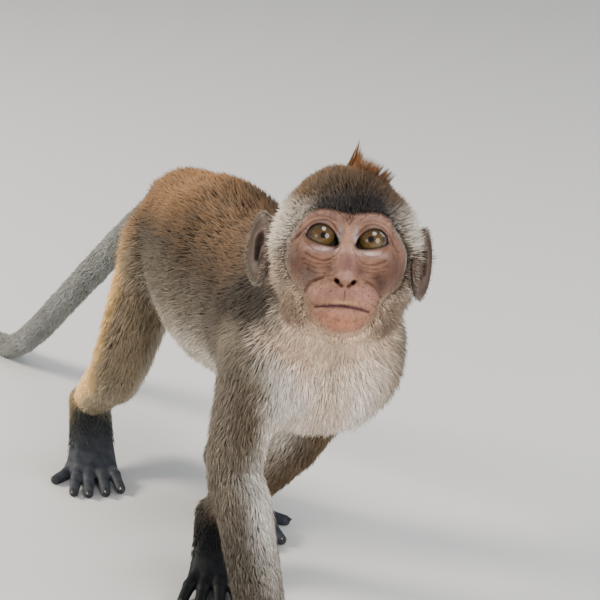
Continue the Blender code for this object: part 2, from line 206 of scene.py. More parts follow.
# The head's balls: place, half sizes, blend and depth of the coat, from the skull to the muzzle's end.
HEAD_BALLS = (
    ((0.0, 1.0, 1.1), (3.25, 4.1, 3.25), 1.0, (0.5, 0.4, 0.45)),
    ((0.0, -0.3, -0.4), (3.8, 2.3, 2.8), 1.2, (0.7, 0.12, 0.4)),
    ((0.0, -0.5, -2.0), (3.3, 2.5, 2.7), 1.0, (0.65, 0.15, 0.5)),
    ((0.0, -2.4, 1.35), (2.1, 0.8, 0.5), 1.0, 0.05),
    ((0.0, -1.6, -3.2), (2.7, 2.0, 1.6), 1.2, (0.5, 0.2, 0.4)),
    ((0.0, -2.7, -2.2), (2.0, 1.8, 1.6), 1.4, 0.05),
    ((0.0, -3.4, -2.9), (1.6, 1.35, 1.3), 0.8, BARE),
)


def head_forms():
    forms = [ball(in_head(*place), size, blend, HEAD_TURN, coat) for place, size, blend, coat in HEAD_BALLS]
    forms.append(head_bar(1.0, (0.0, -2.5, -3.2), (0.0, -3.2, -3.55), 1.2, 1.05, 0.8))
    forms.append(head_bar(1.0, (0.0, -2.8, 0.4), (0.0, -4.45, -1.6), 0.45, 0.4, 0.5))
    for sign in SIDES.values():
        forms.append(ball(in_head(1.7 * sign, -2.2, -0.85), (1.0, 0.9, 0.75), 0.8, HEAD_TURN, BARE))
    return forms


def face_forms():
    """What the face has over the solids: lids round the eyes, the nose's tip and wings, nostrils and lips."""
    forms = [ball(in_head(0.0, -4.5, -1.72), (0.42, 0.42, 0.4), 0.35, HEAD_TURN)]
    for sign in SIDES.values():
        forms.append(ball(eye_middle(sign), (EYE_RADIUS + LID,) * 3, 0.3))
        forms.append(head_bar(sign, (0.36, -4.35, -1.72), (0.3, -4.5, -2.0), 0.25, 0.2, 0.2))
        forms.append(head_bar(sign, (0.5, -4.3, -2.72), (1.1, -3.95, -2.8), 0.42, 0.38, 0.5))
    forms.append(head_bar(1.0, (-0.75, -4.12, -3.62), (0.75, -4.12, -3.62), 0.4, 0.4, 0.4))
    for sign in SIDES.values():
        forms.append(head_bar(sign, (0.47, -4.72, -1.93), (0.17, -4.86, -2.2), 0.105, 0.06, 0.08, True))
        forms.append(head_bar(sign, (0.38, -4.75, -2.0), (0.36, -4.3, -1.9), 0.11, 0.09, 0.06, True))
    return forms


def ear_turn(sign):
    return HEAD_TURN @ Matrix.Rotation(math.radians(-EAR_FLARE * sign), 3, "Z")


def ear_point(sign, x, y, z):
    """A place in the ear's own frame: x out of its hollow, y to its rear rim, z to its top."""
    return in_head(EAR[0] * sign, *EAR[1:]) + ear_turn(sign) @ Vector((x * sign, y, z))


def ear_forms():
    forms = []
    for sign in SIDES.values():
        turn = ear_turn(sign)
        ridge = [ear_point(sign, *p) for p in ((0.1, -0.3, 0.9), (0.12, 0.3, 0.5), (0.14, 0.25, -0.5))]
        forms.append(ball(ear_point(sign, 0.0, 0.0, 0.0), EAR_SIZE, 0.15, turn, BARE))
        forms.append(ball(ear_point(sign, EAR_SIZE[0], 0.1, 0.1), EAR_HOLLOW, 0.2, turn, cut=True))
        forms.append(tube(ridge, (0.1, 0.13, 0.1), 0.2))
        forms.append(limb(ear_point(sign, 0.12, -0.75, -0.1), ear_point(sign, 0.2, -0.6, -0.5), 0.2, 0.16, 0.2))
    return forms


def digit_paths(side, root, knuckles, fan, lengths, inner_length):
    """For each digit, its path from the wrist or ankle over the knuckle to the tip, with radii, thumb last."""
    forward = level(knuckles - root)
    inward = UP.cross(forward) * SIDES[side]
    radii = under(BARE, (0.85, 0.6, DIGIT_RADIUS, DIGIT_RADIUS * 0.85))
    paths = []
    for place, angle, length in zip((1.0, 0.35, -0.35, -1.0), fan, lengths):
        heading = forward * math.cos(math.radians(angle)) - inward * math.sin(math.radians(angle))
        knuckle = knuckles + inward * place * DIGIT_SPACING
        middle = knuckle + heading * (DIGIT_START + length * 0.5)
        end = knuckle + heading * (DIGIT_START + length)
        middle.z, end.z = JOINT_HEIGHT, TIP_HEIGHT
        paths.append(((root + inward * place * 0.3, knuckle, middle, end), radii))
    start = root.lerp(knuckles, 0.75) + inward * 1.35
    start.z = THUMB_HEIGHT
    end = start + (forward * 0.75 + inward * 0.66) * inner_length * 0.75
    end.z = THUMB_TIP
    return paths + [((root + inward * 0.3, start, end), under(BARE, (0.8, 0.52, 0.38)))]


def hand_paths(side):
    return digit_paths(side, *ARM[side][2:], *FINGERS)


def foot_paths(side):
    return digit_paths(side, *LEG[side][2:], *TOES)


def digit_forms(paths, root, knuckles):
    forms = [tube(points, radii, 0.3) for points, radii in paths]
    forms += [ball(points[2] + UP * 0.12, (0.34, 0.34, 0.3), 0.2) for points, _ in paths[:4]]
    return forms + [ball(knuckles - level(knuckles - root) * 0.3, (1.25, 1.1, 0.93), 0.4, coat=BARE)]


def limb_forms(side):
    shoulder, elbow, wrist, knuckles = ARM[side]
    hip, knee, ankle, toes = LEG[side]
    arm = tube((shoulder, elbow, elbow.lerp(wrist, 0.35), wrist), under(ARM_COAT, (2.2, 1.6, 1.6, 1.1)), 1.2)
    leg = (hip, hip.lerp(knee, 0.5), knee, knee.lerp(ankle, 0.35), ankle)
    heel = ankle + level(ankle - toes) * 1.2 - UP * 0.8
    forms = [arm] + digit_forms(hand_paths(side), wrist, knuckles)
    forms.append(ball(hip, (1.3, 2.5, 3.1), 1.5, coat=JOINT_COAT))
    forms.append(tube(leg, under(LEG_COAT, (2.4, 2.1, 1.75, 1.55, 1.0)), 1.2))
    forms.append(limb(ankle, heel, *under(BARE, (0.95, 0.75)), 0.5))
    forms.append(limb(heel, toes, *under(BARE, (0.75, 0.75)), 0.5))
    return forms + digit_forms(foot_paths(side), ankle, toes)


def tail_form():
    return tube([*TAIL[:-1], TAIL[-1].lerp(TAIL[-2], 0.05)], under(TAIL_COAT, TAIL_RADII), 0.8)


def all_forms():
    limbs = [form for side in SIDES for form in limb_forms(side)]
    return trunk_forms() + head_forms() + limbs + [tail_form()] + face_forms() + ear_forms()


def turned_back(turn, middle, x, y, z):
    """Places as seen from a middle in a turned frame."""
    offset = (x - middle.x, y - middle.y, z - middle.z)
    return [sum(turn[row][column] * offset[row] for row in range(3)) for column in range(3)]


def ball_distance(form, *places):
    local = turned_back(form.turn or Matrix.Identity(3), form.ends[0], *places)
    near = np.sqrt(sum((p / r) ** 2 for p, r in zip(local, form.size)))
    slope = np.sqrt(sum((p / r**2) ** 2 for p, r in zip(local, form.size)))
    return near * (near - 1.0) / np.maximum(slope, 1e-6)


def cone_distance(start, end, first, last, x, y, z):
    along = end - start
    u, v, w = x - start.x, y - start.y, z - start.z
    t = fit((u * along.x + v * along.y + w * along.z) / along.length_squared)
    reach = np.sqrt((u - t * along.x) ** 2 + (v - t * along.y) ** 2 + (w - t * along.z) ** 2)
    return reach - (first + t * (last - first))


def window(points, reach, axes):
    lows = [min(p[i] for p in points) - reach for i in range(3)]
    highs = [max(p[i] for p in points) + reach for i in range(3)]
    return tuple(slice(*np.searchsorted(a, span)) for a, span in zip(axes, zip(lows, highs)))


def grid_in(axes, part):
    return np.meshgrid(*(a[c] for a, c in zip(axes, part)), indexing="ij", sparse=True)


def form_distance(form, room, axes, part):
    if len(form.ends) == 1:
        return ball_distance(form, *grid_in(axes, part)).astype(np.float32)
    near = [a[c] for a, c in zip(axes, part)]
    own = np.full([len(a) for a in near], BAND, np.float32)
    for start, end, first, last in zip(form.ends, form.ends[1:], form.size, form.size[1:]):
        inner = window((start, end), max(first, last) + room, near)
        own[inner] = np.minimum(own[inner], cone_distance(start, end, first, last, *grid_in(near, inner)))
    return own


def joined(one, other, blend):
    """The smaller of two distances, rounded where they are close."""
    overlap = np.maximum(blend - np.abs(one - other), 0.0) / blend
    return np.minimum(one, other) - overlap**2 * blend / 4


def field(forms, axes):
    values = np.full([len(a) for a in axes], BAND, np.float32)
    for form in forms:
        sign = -1.0 if form.cut else 1.0
        room = form.blend + 2 * COARSE
        part = window(form.ends, max(form.size) + room, axes)
        values[part] = joined(values[part] * sign, form_distance(form, room, axes, part), form.blend) * sign
    return values


# The opening between the lids, in the head's frame from the eye's middle: x away from the nose.
INNER_CORNER, OUTER_CORNER = (-0.82, -0.47), (0.74, -0.16)
UPPER_LID, LOWER_LID, LID_BLEND = 0.71, 0.2, 0.06


def opening(x, z):
    """How far outside the lids' opening a place lies."""
    t = (x - INNER_CORNER[0]) / (OUTER_CORNER[0] - INNER_CORNER[0])
    inside = fit(4 * t * (1 - t))
    base = INNER_CORNER[1] + t * (OUTER_CORNER[1] - INNER_CORNER[1])
    over = z - (base + UPPER_LID * inside**0.55)
    under = (base - LOWER_LID * inside**0.6) - z
    ends = np.maximum(INNER_CORNER[0] - x, x - OUTER_CORNER[0])
    return np.maximum(np.maximum(over, under) * 0.85, ends)


def open_lids(values, axes):
    """Cuts the opening between the lids down into each eyeball."""
    for sign in SIDES.values():
        part = window((eye_middle(sign),), EYE_ROOM, axes)
        x, y, z = turned_back(HEAD_TURN, eye_middle(sign), *grid_in(axes, part))
        deep = EYE_RADIUS - SOCKET - np.sqrt(x**2 + y**2 + z**2)
        hole = np.maximum(np.maximum(opening(x * sign, z), deep), y)
        values[part] = -joined(-values[part], hole, LID_BLEND)
    return values


def graded(low, high, spans):
    """Marks along an axis, close together inside the spans and growing apart outside them."""
    marks = [low]
    while marks[-1] < high:
        here = marks[-1]
        steps = [fine + GRADE * max(start - here, here - end, 0.0) for start, end, fine in spans]
        marks.append(here + min([COARSE] + steps))
    return np.array(marks)


def skin_surface():
    """The skin's points in cm and its quads."""
    forms = all_forms()
    solid = [form for form in forms if not form.cut]
    lows = [min(min(e[i] for e in f.ends) - max(f.size) for f in solid) - 1.0 for i in range(3)]
    highs = [max(max(e[i] for e in f.ends) + max(f.size) for f in solid) + 1.0 for i in range(3)]
    axes = [graded(low, high, spans) for low, high, spans in zip(lows, highs, FINE)]
    values = open_lids(field(forms, axes), axes)
    values = np.maximum(values, -grid_in(axes, (slice(None),) * 3)[2].astype(np.float32))
    grid = openvdb.FloatGrid(BAND)
    grid.copyFromArray(np.clip(values, -BAND, BAND))
    points, _, quads = grid.convertToPolygons(isovalue=0.0, adaptivity=0.0)
    return columns(*(np.interp(p, np.arange(len(a)), a) for p, a in zip(points.T, axes))), quads


# The face's folds and markings, with painted shade in the folds, the nostrils and the crease between the lips.


def tint(red, green, blue):
    return np.array([(c / 255.0) ** 2.2 for c in (red, green, blue)])


def line_distance(x, z, points):
    near = np.full(x.shape, 9.0)
    path = smooth_path(points, CURVE_STEPS)
    for start, end in zip(path, path[1:]):
        along = end - start
        t = fit(((x - start[0]) * along[0] + (z - start[1]) * along[1]) / max(along.length_squared, 1e-9))
        near = np.minimum(near, np.hypot(x - start[0] - t * along[0], z - start[1] - t * along[1]))
    return near


# Folds of one side of the face, x outwards and z up in the head's frame, each with its depth and half width.
MOUTH = ((-0.2, -3.15), (0.0, -3.15), (0.45, -3.19), (0.88, -3.23), (1.28, -3.29))
FOLDS = (
    (((0.42, 0.45), (0.8, 0.93), (1.25, 1.06), (1.75, 0.92), (2.2, 0.5), (2.62, 0.02)), 0.09, 0.06),
    (((0.7, 1.08), (1.25, 1.24), (1.85, 1.1), (2.45, 0.55)), 0.045, 0.06),
    (((2.0, 0.62), (2.4, 0.2), (2.75, -0.35)), 0.05, 0.045),
    (((0.42, -0.2), (0.8, -0.42), (1.2, -0.5), (1.65, -0.38), (2.0, -0.05)), 0.06, 0.045),
    (((0.3, -0.3), (0.6, -0.72), (1.0, -0.93), (1.5, -0.85), (1.95, -0.6)), 0.085, 0.05),
    (((0.5, -0.85), (0.75, -1.05), (1.1, -1.13), (1.6, -1.1), (2.05, -0.9)), 0.06, 0.045),
    (((0.7, -1.28), (1.1, -1.33), (1.5, -1.3), (1.95, -1.15)), 0.055, 0.045),
    (((0.9, -1.6), (1.3, -1.58), (1.75, -1.42)), 0.045, 0.045),
    (((2.1, 0.3), (2.3, -0.1), (2.35, -0.5)), 0.04, 0.045),
    (((1.05, -1.85), (1.5, -2.05), (1.8, -2.42), (1.87, -2.9), (1.76, -3.4)), 0.09, 0.08),
    (((0.72, -1.72), (1.1, -1.82), (1.45, -1.98)), 0.05, 0.06),
    (((0.42, -1.55), (0.62, -1.75), (0.66, -2.0)), 0.045, 0.05),
    (((0.0, -2.4), (0.0, -2.95)), 0.04, 0.05),
    (((-0.2, -3.86), (0.3, -3.86), (0.8, -3.76), (1.15, -3.6)), 0.03, 0.1),
    (MOUTH, 0.15, 0.055),
)
LOWER_LIP, UPPER_LIP = ((0.0, -3.33), (0.5, -3.36), (1.0, -3.41)), ((0.0, -3.0), (0.45, -3.04), (0.95, -3.09))
DEEPEST, LIP_RISE = 0.16, 0.045


def fold_face(points, normals):
    x, y, z = head_places(points).T
    depth = np.zeros(len(points))
    for path, deep, wide in FOLDS:
        for sign in SIDES.values():
            depth += deep * hill(line_distance(x * sign, z, path), wide) * (0.5 if path[0][0] <= 0 else 1)
    lips = hill(line_distance(np.abs(x), z, LOWER_LIP), 0.13)
    lips += hill(line_distance(np.abs(x), z, UPPER_LIP), 0.12) * 0.8
    away = (np.minimum(depth, DEEPEST) - LIP_RISE * lips) * fit((-1.3 - y) / 0.5)
    return points - normals * away[:, None]


# The bare face's edge, seen from the front: how far it reaches from its middle at each angle up from sideways.
FACE_MIDDLE, FACE_LEAN = -1.3, 0.18
FACE_ANGLES = (-90, -81, -71, -58, -46, -38, -24, -8, 7, 25, 41, 52, 63, 78, 90)
FACE_REACH = (3.12, 3.12, 3.05, 2.85, 2.55, 2.3, 2.33, 2.68, 3.05, 3.22, 3.25, 3.34, 3.3, 2.84, 2.66)


def outside_face(points):
    """How far outside the bare face's edge each point lies, negative inside, and large at the head's back."""
    x, y, z = head_places(points).T
    x = x - FACE_LEAN * fit((z + 2.6) / 1.2) * np.clip(1.4 - z, 0.3, 1.0)
    angle = np.degrees(np.arctan2(z - FACE_MIDDLE, np.abs(x)))
    wave = 0.06 * wobble(points, 2.2, 3)
    out = np.hypot(x, z - FACE_MIDDLE) - np.interp(angle, FACE_ANGLES, FACE_REACH) + wave
    return np.where(y > 0.2, np.maximum(out, 0.0) + (y - 0.2), out)


def wobble(points, scale, seed):
    """A smooth unsteady pattern between about -1 and 1."""
    waves = np.random.default_rng(seed)
    total = np.zeros(len(points))
    for k in range(5):
        direction = waves.normal(size=3)
        direction *= scale * (1 + 0.5 * k) / np.linalg.norm(direction)
        total += np.sin(points @ direction + waves.uniform(0, 6.28)) / (1 + 0.4 * k)
    return total / 2.2


def paint(base, *layers):
    """The base colour under layers, each a share at every place and a colour, the lowest first."""
    for share, colour in layers:
        share = fit(share)[:, None]
        base = base * (1 - share) + colour * share
    return base


# Soft patches on the face: place and reach, across and up, on both sides alike, then colour and strength.
FACE_SKIN = tint(130, 97, 80)
FACE_PATCHES = (
    (2.55, -0.95, 0.85, 1.15, tint(78, 56, 48), 0.95),
    (2.4, 0.45, 0.4, 0.5, tint(104, 78, 68), 0.7),
    # Painted shade in the fold beside the nose's wing, this patch and the next
    (1.75, -1.75, 0.5, 0.42, tint(60, 43, 37), 0.9),
    (1.8, -2.1, 0.22, 0.3, tint(58, 42, 35), 0.8),
    (1.15, -1.2, 0.45, 0.3, tint(128, 92, 76), 0.7),
    # Painted shade in the fold beside the nose's wing
    (1.68, -1.52, 0.42, 0.34, tint(64, 45, 37), 0.75),
    (0.0, 0.3, 0.3, 0.75, tint(156, 119, 98), 0.9),
    (0.0, 1.15, 0.4, 0.35, tint(124, 93, 82), 0.6),
    (1.1, 1.35, 0.9, 0.25, tint(129, 100, 92), 0.6),
    (0.0, -0.45, 0.3, 0.35, tint(152, 118, 102), 0.8),
    (0.0, -1.05, 0.42, 0.42, tint(106, 75, 72), 0.85),
    # Painted shade at the nose's sides
    (0.7, -1.35, 0.34, 0.42, tint(80, 57, 49), 0.85),
    (0.0, -1.68, 0.34, 0.22, tint(158, 118, 108), 0.9),
    (1.1, -0.37, 0.68, 0.14, tint(200, 168, 163), 0.8),
    (0.4, 0.42, 0.12, 0.4, tint(152, 144, 144), 0.85),
    (1.2, 0.98, 0.6, 0.08, tint(140, 120, 114), 0.5),
    (0.9, -2.6, 0.8, 0.42, tint(144, 103, 91), 0.85),
    (0.0, -2.55, 0.25, 0.35, tint(152, 102, 90), 0.6),
    (0.0, -2.97, 0.7, 0.1, tint(184, 142, 104), 0.75),
    (1.75, -2.9, 0.28, 0.6, tint(110, 84, 70), 0.7),
    (0.0, -3.5, 1.1, 0.2, tint(168, 118, 100), 0.8),
    (0.0, -4.0, 1.2, 0.45, tint(170, 117, 92), 0.9),
)
# Painted shade for the folds, the crease between the lips and the nostrils, then the lids' dark rims
CREASE_SHADE, MOUTH_SHADE, NOSTRIL_SHADE, LID_EDGE = tint(70, 45, 38), tint(74, 48, 58), tint(62, 34, 28), tint(34, 27, 28)


def face_colours(points):
    x, y, z = head_places(points).T
    side = np.abs(x)
    colours = FACE_SKIN
    for px, pz, rx, rz, colour, strength in FACE_PATCHES:
        share = strength * np.exp(-(((side - px) / rx) ** 2) - ((z - pz) / rz) ** 2)
        colours = paint(colours, (share, colour))
    speckle = wobble(points, 7.0, 5) * 0.08 + wobble(points, 22.0, 6) * 0.09
    colours = colours * (1.0 + speckle)[:, None]
    # Each fold darkens the skin as painted shade, more where the fold is deeper
    for path, deep, wide in FOLDS:
        colours = paint(colours, (hill(line_distance(side, z, path), wide * 0.8) * deep * 6.5, CREASE_SHADE))
    # Painted shade along the crease between the lips
    colours = paint(colours, (hill(line_distance(side, z, MOUTH), 0.075) * 0.9 * fit(1.7 - side), MOUTH_SHADE))
    for sign in SIDES.values():
        # Painted shade in the nostrils
        nostril = hill(line_distance(x * sign, z, ((0.16, -2.2), (0.48, -1.93))), 0.1, 4) * (y < -3.9)
        u, v = x - EYE[0] * sign, z - EYE[2]
        near = (y < EYE[1]) & (np.hypot(u, v) < 1.3)
        lid = hill(np.maximum(opening(u * sign, v), 0.0), 0.095) * near
        colours = paint(colours, (nostril, NOSTRIL_SHADE), (lid, LID_EDGE))
    return colours


# The coat's lie, measures and colours.


ARM_NAMES, LEG_NAMES = ("upper_arm", "forearm", "hand"), ("thigh", "shank", "foot")


def bones():
    """Each region's axis, as the way its hair lies: name, start, end, half widths."""
    found = [
        ("trunk", Vector((0.0, -7.5, 18.2)), Vector((0.1, 9.0, 18.8)), 4.3, 3.6),
        ("neck", in_head(0.0, 1.6, -0.6), NAPE, 2.7, 3.6),
        ("head", in_head(0.0, -0.9, -1.0), in_head(0.0, 1.1, 1.0), 3.2, 3.6),
    ]
    widths = ((1.6, 1.3), (1.25, 0.95), (0.9, 0.5))
    for side in SIDES:
        for names, (*joints, end, tips) in ((ARM_NAMES, ARM[side]), (LEG_NAMES, LEG[side])):
            stops = [*joints, end, tips + level(tips - end) * 3.0]
            for name, start, stop, width in zip(names, stops, stops[1:], widths):
                found.append((f"{name}_{side}", start, stop, *width))
    for number, (start, end) in enumerate(zip(TAIL, TAIL[1:])):
        found.append((f"tail_{number}", start, end, 0.7, 0.65))
    return found


BONES, REGION_BLEND = bones(), 0.45
REGIONS = [name for name, *_ in BONES]


def region_shares(points):
    """How much each point belongs to each region, one column each."""
    gaps = columns(*(cone_distance(*bone, *points.T) for _, *bone in BONES))
    shares = np.exp(-(gaps - gaps.min(axis=1, keepdims=True)) / REGION_BLEND)
    return shares / shares.sum(axis=1, keepdims=True)


def share_of(shares, *starts):
    return sum(shares[:, k] for k, name in enumerate(REGIONS) if name.startswith(starts))


def along_of(points, start, end):
    axis = np.array(end - start)
    return fit((points - np.array(start)) @ axis / (axis @ axis))


def unit(vectors):
    return vectors / np.maximum(np.linalg.norm(vectors, axis=1, keepdims=True), 1e-9)


def lie(points, normals, shares):
    """The way the hair points at each place, flat on the skin."""
    flow = np.zeros_like(points)
    for k, (name, start, end, _, _) in enumerate(BONES):
        way = unit(np.array([end - start]))[0]
        if name == "head":
            radial = head_places(points) - np.array((0.0, 0.0, -1.0))
            radial[:, 1] = 0.0
            way = (unit(radial) * 0.75 + np.array((0.0, 0.8, -0.1))) @ TURN.T
        elif name == "trunk":
            way = np.array((0.0, 1.0, -0.1)) + np.outer(fit(0.6 - normals[:, 2]), (0.0, 0.0, -0.75))
        elif name == "neck":
            way = way + np.array((0.0, 0.15, -0.25))
        flow += way * shares[:, k : k + 1]
    strays, locks = (
        columns(*(wobble(points, scale, seed + i) for i in range(3))) for scale, seed in ((1.3, 20), (5.0, 30))
    )
    flow = unit(flow) + strays * 0.14 + locks * 0.22
    flow -= normals * np.sum(flow * normals, axis=1, keepdims=True)
    return unit(flow)


def either(where, values, others):
    return (np.where(where, value, other) for value, other in zip(values, others))


def coat_measures(points, shares):
    """At each place: locks in a square centimetre, length, depth of the coat and half width of a lock."""
    head = share_of(shares, "head")
    out = outside_face(points)
    x, _, z = head_places(points).T
    jaw = fit((-1.6 - z) / 0.8)
    beside = fit((np.abs(x) - 1.7) / 0.8) * fit(3.0 - z)
    left, right = (fit((sign * x - 2.0) / 0.8) for sign in (1.0, -1.0))
    by_ear = left * fit((0.9 - z) / 0.8) * fit((z + 1.8) / 0.9)
    fullness = 0.62 + 0.14 * beside * (1 - jaw) - 0.32 * jaw
    fullness += 0.32 * left - 0.14 * right + 0.28 * by_ear
    beside = np.maximum(beside, jaw * 0.6)
    grown = fit((out + FACE_LEAN * np.clip(x, -1.0, 1.0) + 0.3 * beside) / (1.6 - 1.0 * beside))
    edge = np.clip((out + 0.15) / 0.4 + 0.5 * by_ear, 0.35, 1.0)
    crown = fit((z - 1.0) / 1.5)
    head_length = 0.3 + grown * (0.75 - 0.2 * crown + 0.35 * by_ear)
    rows = (
        (head, 185.0, head_length, 0.09 + fullness * grown * edge - 0.22 * grown * crown, 0.025),
        (share_of(shares, "neck"), 90.0, 1.3, 0.68, 0.036),
        (share_of(shares, "trunk"), 74.0, 1.35, 0.72, 0.041),
        (share_of(shares, "upper_arm", "thigh"), 80.0, 1.1, 0.52, 0.038),
        (share_of(shares, "forearm", "shank"), 95.0, 0.85, 0.34, 0.034),
        (share_of(shares, "hand", "foot"), 60.0, 0.35, 0.08, 0.024),
        (share_of(shares, "tail"), 95.0, 0.8, 0.32, 0.034),
    )
    total = sum(row[0] for row in rows)
    density, length, depth, width = (sum(row[0] * row[i] for row in rows) / total for i in range(1, 5))
    for side in SIDES:
        for (*_, base, tips), name in ((ARM[side], "hand_"), (LEG[side], "foot_")):
            far = along_of(points, base, tips + level(tips - base) * 2.0)
            density *= 1.0 - share_of(shares, name + side) * fit((far - 0.2) / 0.35)
    bare = (head > 0.5) & (out < 0.0)
    peak = fit(1.2 - np.abs(x) / 0.3) * fit((z - 0.7) * 3.0)
    rim = np.maximum(fit(1.0 + out / 0.35), peak)
    on_face = (10.0 + 14.0 * fit((-1.9 - z) * 3.0) + 110.0 * rim, 0.14 + 0.12 * rim, 0.03 + 0.04 * rim, FINE_LOCK)
    return *either(bare, on_face, (density, length, depth, width)), out


BACK, SADDLE, FLANK, FLANK_LOW = tint(95, 76, 56), tint(138, 104, 69), tint(59, 49, 37), tint(112, 103, 90)
BELLY_COLOUR, CREAM, BLUSH = tint(206, 197, 182), tint(250, 240, 228), tint(240, 206, 174)
# The neck's side colour is painted shade under the head
NECK_SHADE, GREY_BROWN, PALE_ARM = tint(62, 56, 50), tint(134, 123, 108), tint(226, 220, 211)
# The gold is partly the hair's own colour and partly a painted glow of light from behind
THIGH, GOLD_AND_RIM_GLOW, SHIN = tint(146, 129, 106), tint(240, 198, 132), tint(152, 138, 112)
DARK_TAIL, PALE_TAIL, BLACK_HAIR = tint(120, 119, 113), tint(133, 135, 131), tint(30, 30, 31)
CROWN, BROW, TIPS = tint(116, 92, 66), tint(44, 38, 36), tint(176, 118, 62)
BAND_COLOUR, LOW_BAND, CHEEK = tint(208, 196, 181), tint(162, 143, 125), tint(130, 114, 98)
JAW, FRINGE, CHEST_SIDE = tint(142, 120, 101), tint(206, 178, 150), tint(160, 129, 96)
# The darker arm colour is painted shade
ARM_SHADE, LOW_ARM, FOOT_HAIR = tint(106, 88, 67), tint(98, 90, 79), tint(70, 71, 68)
# The ears' hollow colour is painted shade
BLACK_SKIN, EAR_SKIN, EAR_HOLLOW_SHADE = tint(26, 27, 29), tint(79, 65, 57), tint(34, 25, 21)
EAR_HAIR, NAIL = tint(134, 125, 112), tint(48, 42, 42)


def chest_share(points, normals):
    """How surely each place is on the pale chest."""
    x, y, _ = points.T
    facing = fit((-normals[:, 1] - 0.35 * normals[:, 2] - 0.1) * 2.2)
    return facing * fit((-5.0 - y) / 3.0) * fit((4.9 - np.abs(x)) / 1.5)


def trunk_colours(points, normals):
    x, y, z = points.T
    up, facing = normals[:, 2], chest_share(points, normals)
    warm = np.maximum(fit((z - 16.8) / 2.5), hill(x + 0.3, 1.2) * 0.7)
    beside = fit((np.abs(x + 0.2) - 2.9) * 1.1) * fit((-8.0 - y) / 2.0)
    return paint(
        FLANK,
        ((20.8 - z) / 4.0, FLANK_LOW),
        ((up - 0.35) * 2.0, BACK),
        ((up - 0.3) * 2.2 * fit((y - 0.5) / 4.0), SADDLE),
        (fit(-up * 1.8) * fit((18.5 - z) / 3.0), BELLY_COLOUR),
        (facing, CREAM),
        (facing * warm * 0.75, BLUSH),
        # Painted shade on the neck's sides under the head and ears
        (beside * fit((z - 19.6) / 1.5) * fit(1.3 - 0.12 * x), NECK_SHADE),
        (facing * fit((x - 1.6) / 1.6) * 0.8, CHEST_SIDE),
    )


def arm_colours(points, normals, sign):
    x, _, z = points.T
    outer, up, front = normals[:, 0] * sign, normals[:, 2], -normals[:, 1]
    strip = fit((front - 0.1) * 1.3) * fit(0.55 - outer)
    # Weaker on the left arm, which is behind the body: painted shade
    strip *= fit((z - 4.0) / 6.0) * (0.65 - 0.35 * sign)
    inner = fit(0.7 - outer * 1.5) * fit((16.5 - z) / 3.0)
    pale = chest_share(points, normals) * fit((3.9 - np.abs(x + 0.2)) / 1.2)
    return paint(
        GREY_BROWN,
        ((12.0 - z) / 4.0, LOW_ARM),
        # The left arm's front is darker: painted shade
        (front * 1.2 * (sign > 0) * fit((14.0 - z) / 3.0), ARM_SHADE),
        # Weaker on the left arm: painted shade
        ((-outer - 0.35) * 2.0 * np.clip((z - 9.5) / 3.0, 0.0, 0.7 - 0.3 * sign), PALE_ARM),
        (strip * fit(0.45 + up * 2.0 + inner), PALE_ARM),
        # Darker where the arm faces down: painted shade
        (fit(-up * 2.5) * 0.7, ARM_SHADE),
        (pale * fit((z - 12.0) / 2.0), CREAM),
    )


def leg_colours(base, normals, sign):
    outer = normals[:, 0] * sign
    rim = outer * 0.8 + normals[:, 1] * 0.55 + normals[:, 2] * 0.15
    # Golden hair on the outer back of the legs: partly its own colour, partly a painted glow of light from behind, far
    # stronger on the right leg
    gold_and_rim_glow = fit((rim - 0.48) * 2.5) * (0.58 - 0.37 * sign)
    return paint(base, ((-outer - 0.2) * 1.8, BELLY_COLOUR), (gold_and_rim_glow, GOLD_AND_RIM_GLOW))


def head_colours(points):
    x, y, z = head_places(points).T
    out, across, front = outside_face(points), np.abs(x), -y
    band = hill(out - 0.45, 0.65 + 0.12 * wobble(points, 1.6, 51))
    band *= fit(front + 1.2) * fit(1.0 - (z - 1.1) * 0.75 + fit(across - 2.2) * 0.5)
    edge = 2.35 + 0.2 * wobble(points, 2.4, 52) - 0.25 * np.clip(z - 1.6, 0.0, 2.0)
    brow = fit((edge - np.abs(x - 0.14)) * 0.9 + 0.25) * fit((z - 0.7) * 4.0) * (front > -0.5)
    lifted = fit(1.1 - (z - 1.85 - 0.2 * wobble(points, 3.0, 53)) * 0.5)
    return paint(
        CHEEK,
        ((z - 1.2) * 0.9, CROWN),
        (band * fit((z + 2.6) * 1.2), paint(BAND_COLOUR, ((0.3 - z) * 0.7, LOW_BAND))),
        (fit((-1.5 - z) * 0.7) * fit(front + 0.8), JAW),
        (hill(out - 0.02, 0.12) * fit((-2.2 - z) * 2.5) * 0.8, FRINGE),
        (fit((-3.7 - z) * 2.0) * fit(2.6 - across), BLUSH),
        (brow * lifted, BROW),
    )


def coat_colours(points, normals, shares):
    """The coat's colour at each place."""
    colours = trunk_colours(points, normals)
    for side, sign in SIDES.items():
        arm = share_of(shares, "upper_arm_" + side, "forearm_" + side)
        colours = paint(
            colours,
            (arm * 1.3, arm_colours(points, normals, sign)),
            (share_of(shares, "thigh_" + side) * 1.3, leg_colours(THIGH, normals, sign)),
            (share_of(shares, "shank_" + side) * 1.3, leg_colours(SHIN, normals, sign)),
        )
    saddle = fit((14.5 - points[:, 1]) / 3.5) * 0.7
    head = share_of(shares, "head") * 1.4
    return paint(
        colours,
        (share_of(shares, "tail") * 1.3, paint(PALE_TAIL, ((normals[:, 2] - 0.1) * 1.3, DARK_TAIL), (saddle, SADDLE))),
        (share_of(shares, "hand") * 1.2, BLACK_HAIR),
        (share_of(shares, "foot") * 1.2, FOOT_HAIR),
        (np.where(head_places(points)[:, 2] < -4.6, head * 0.5, head), head_colours(points)),
    )


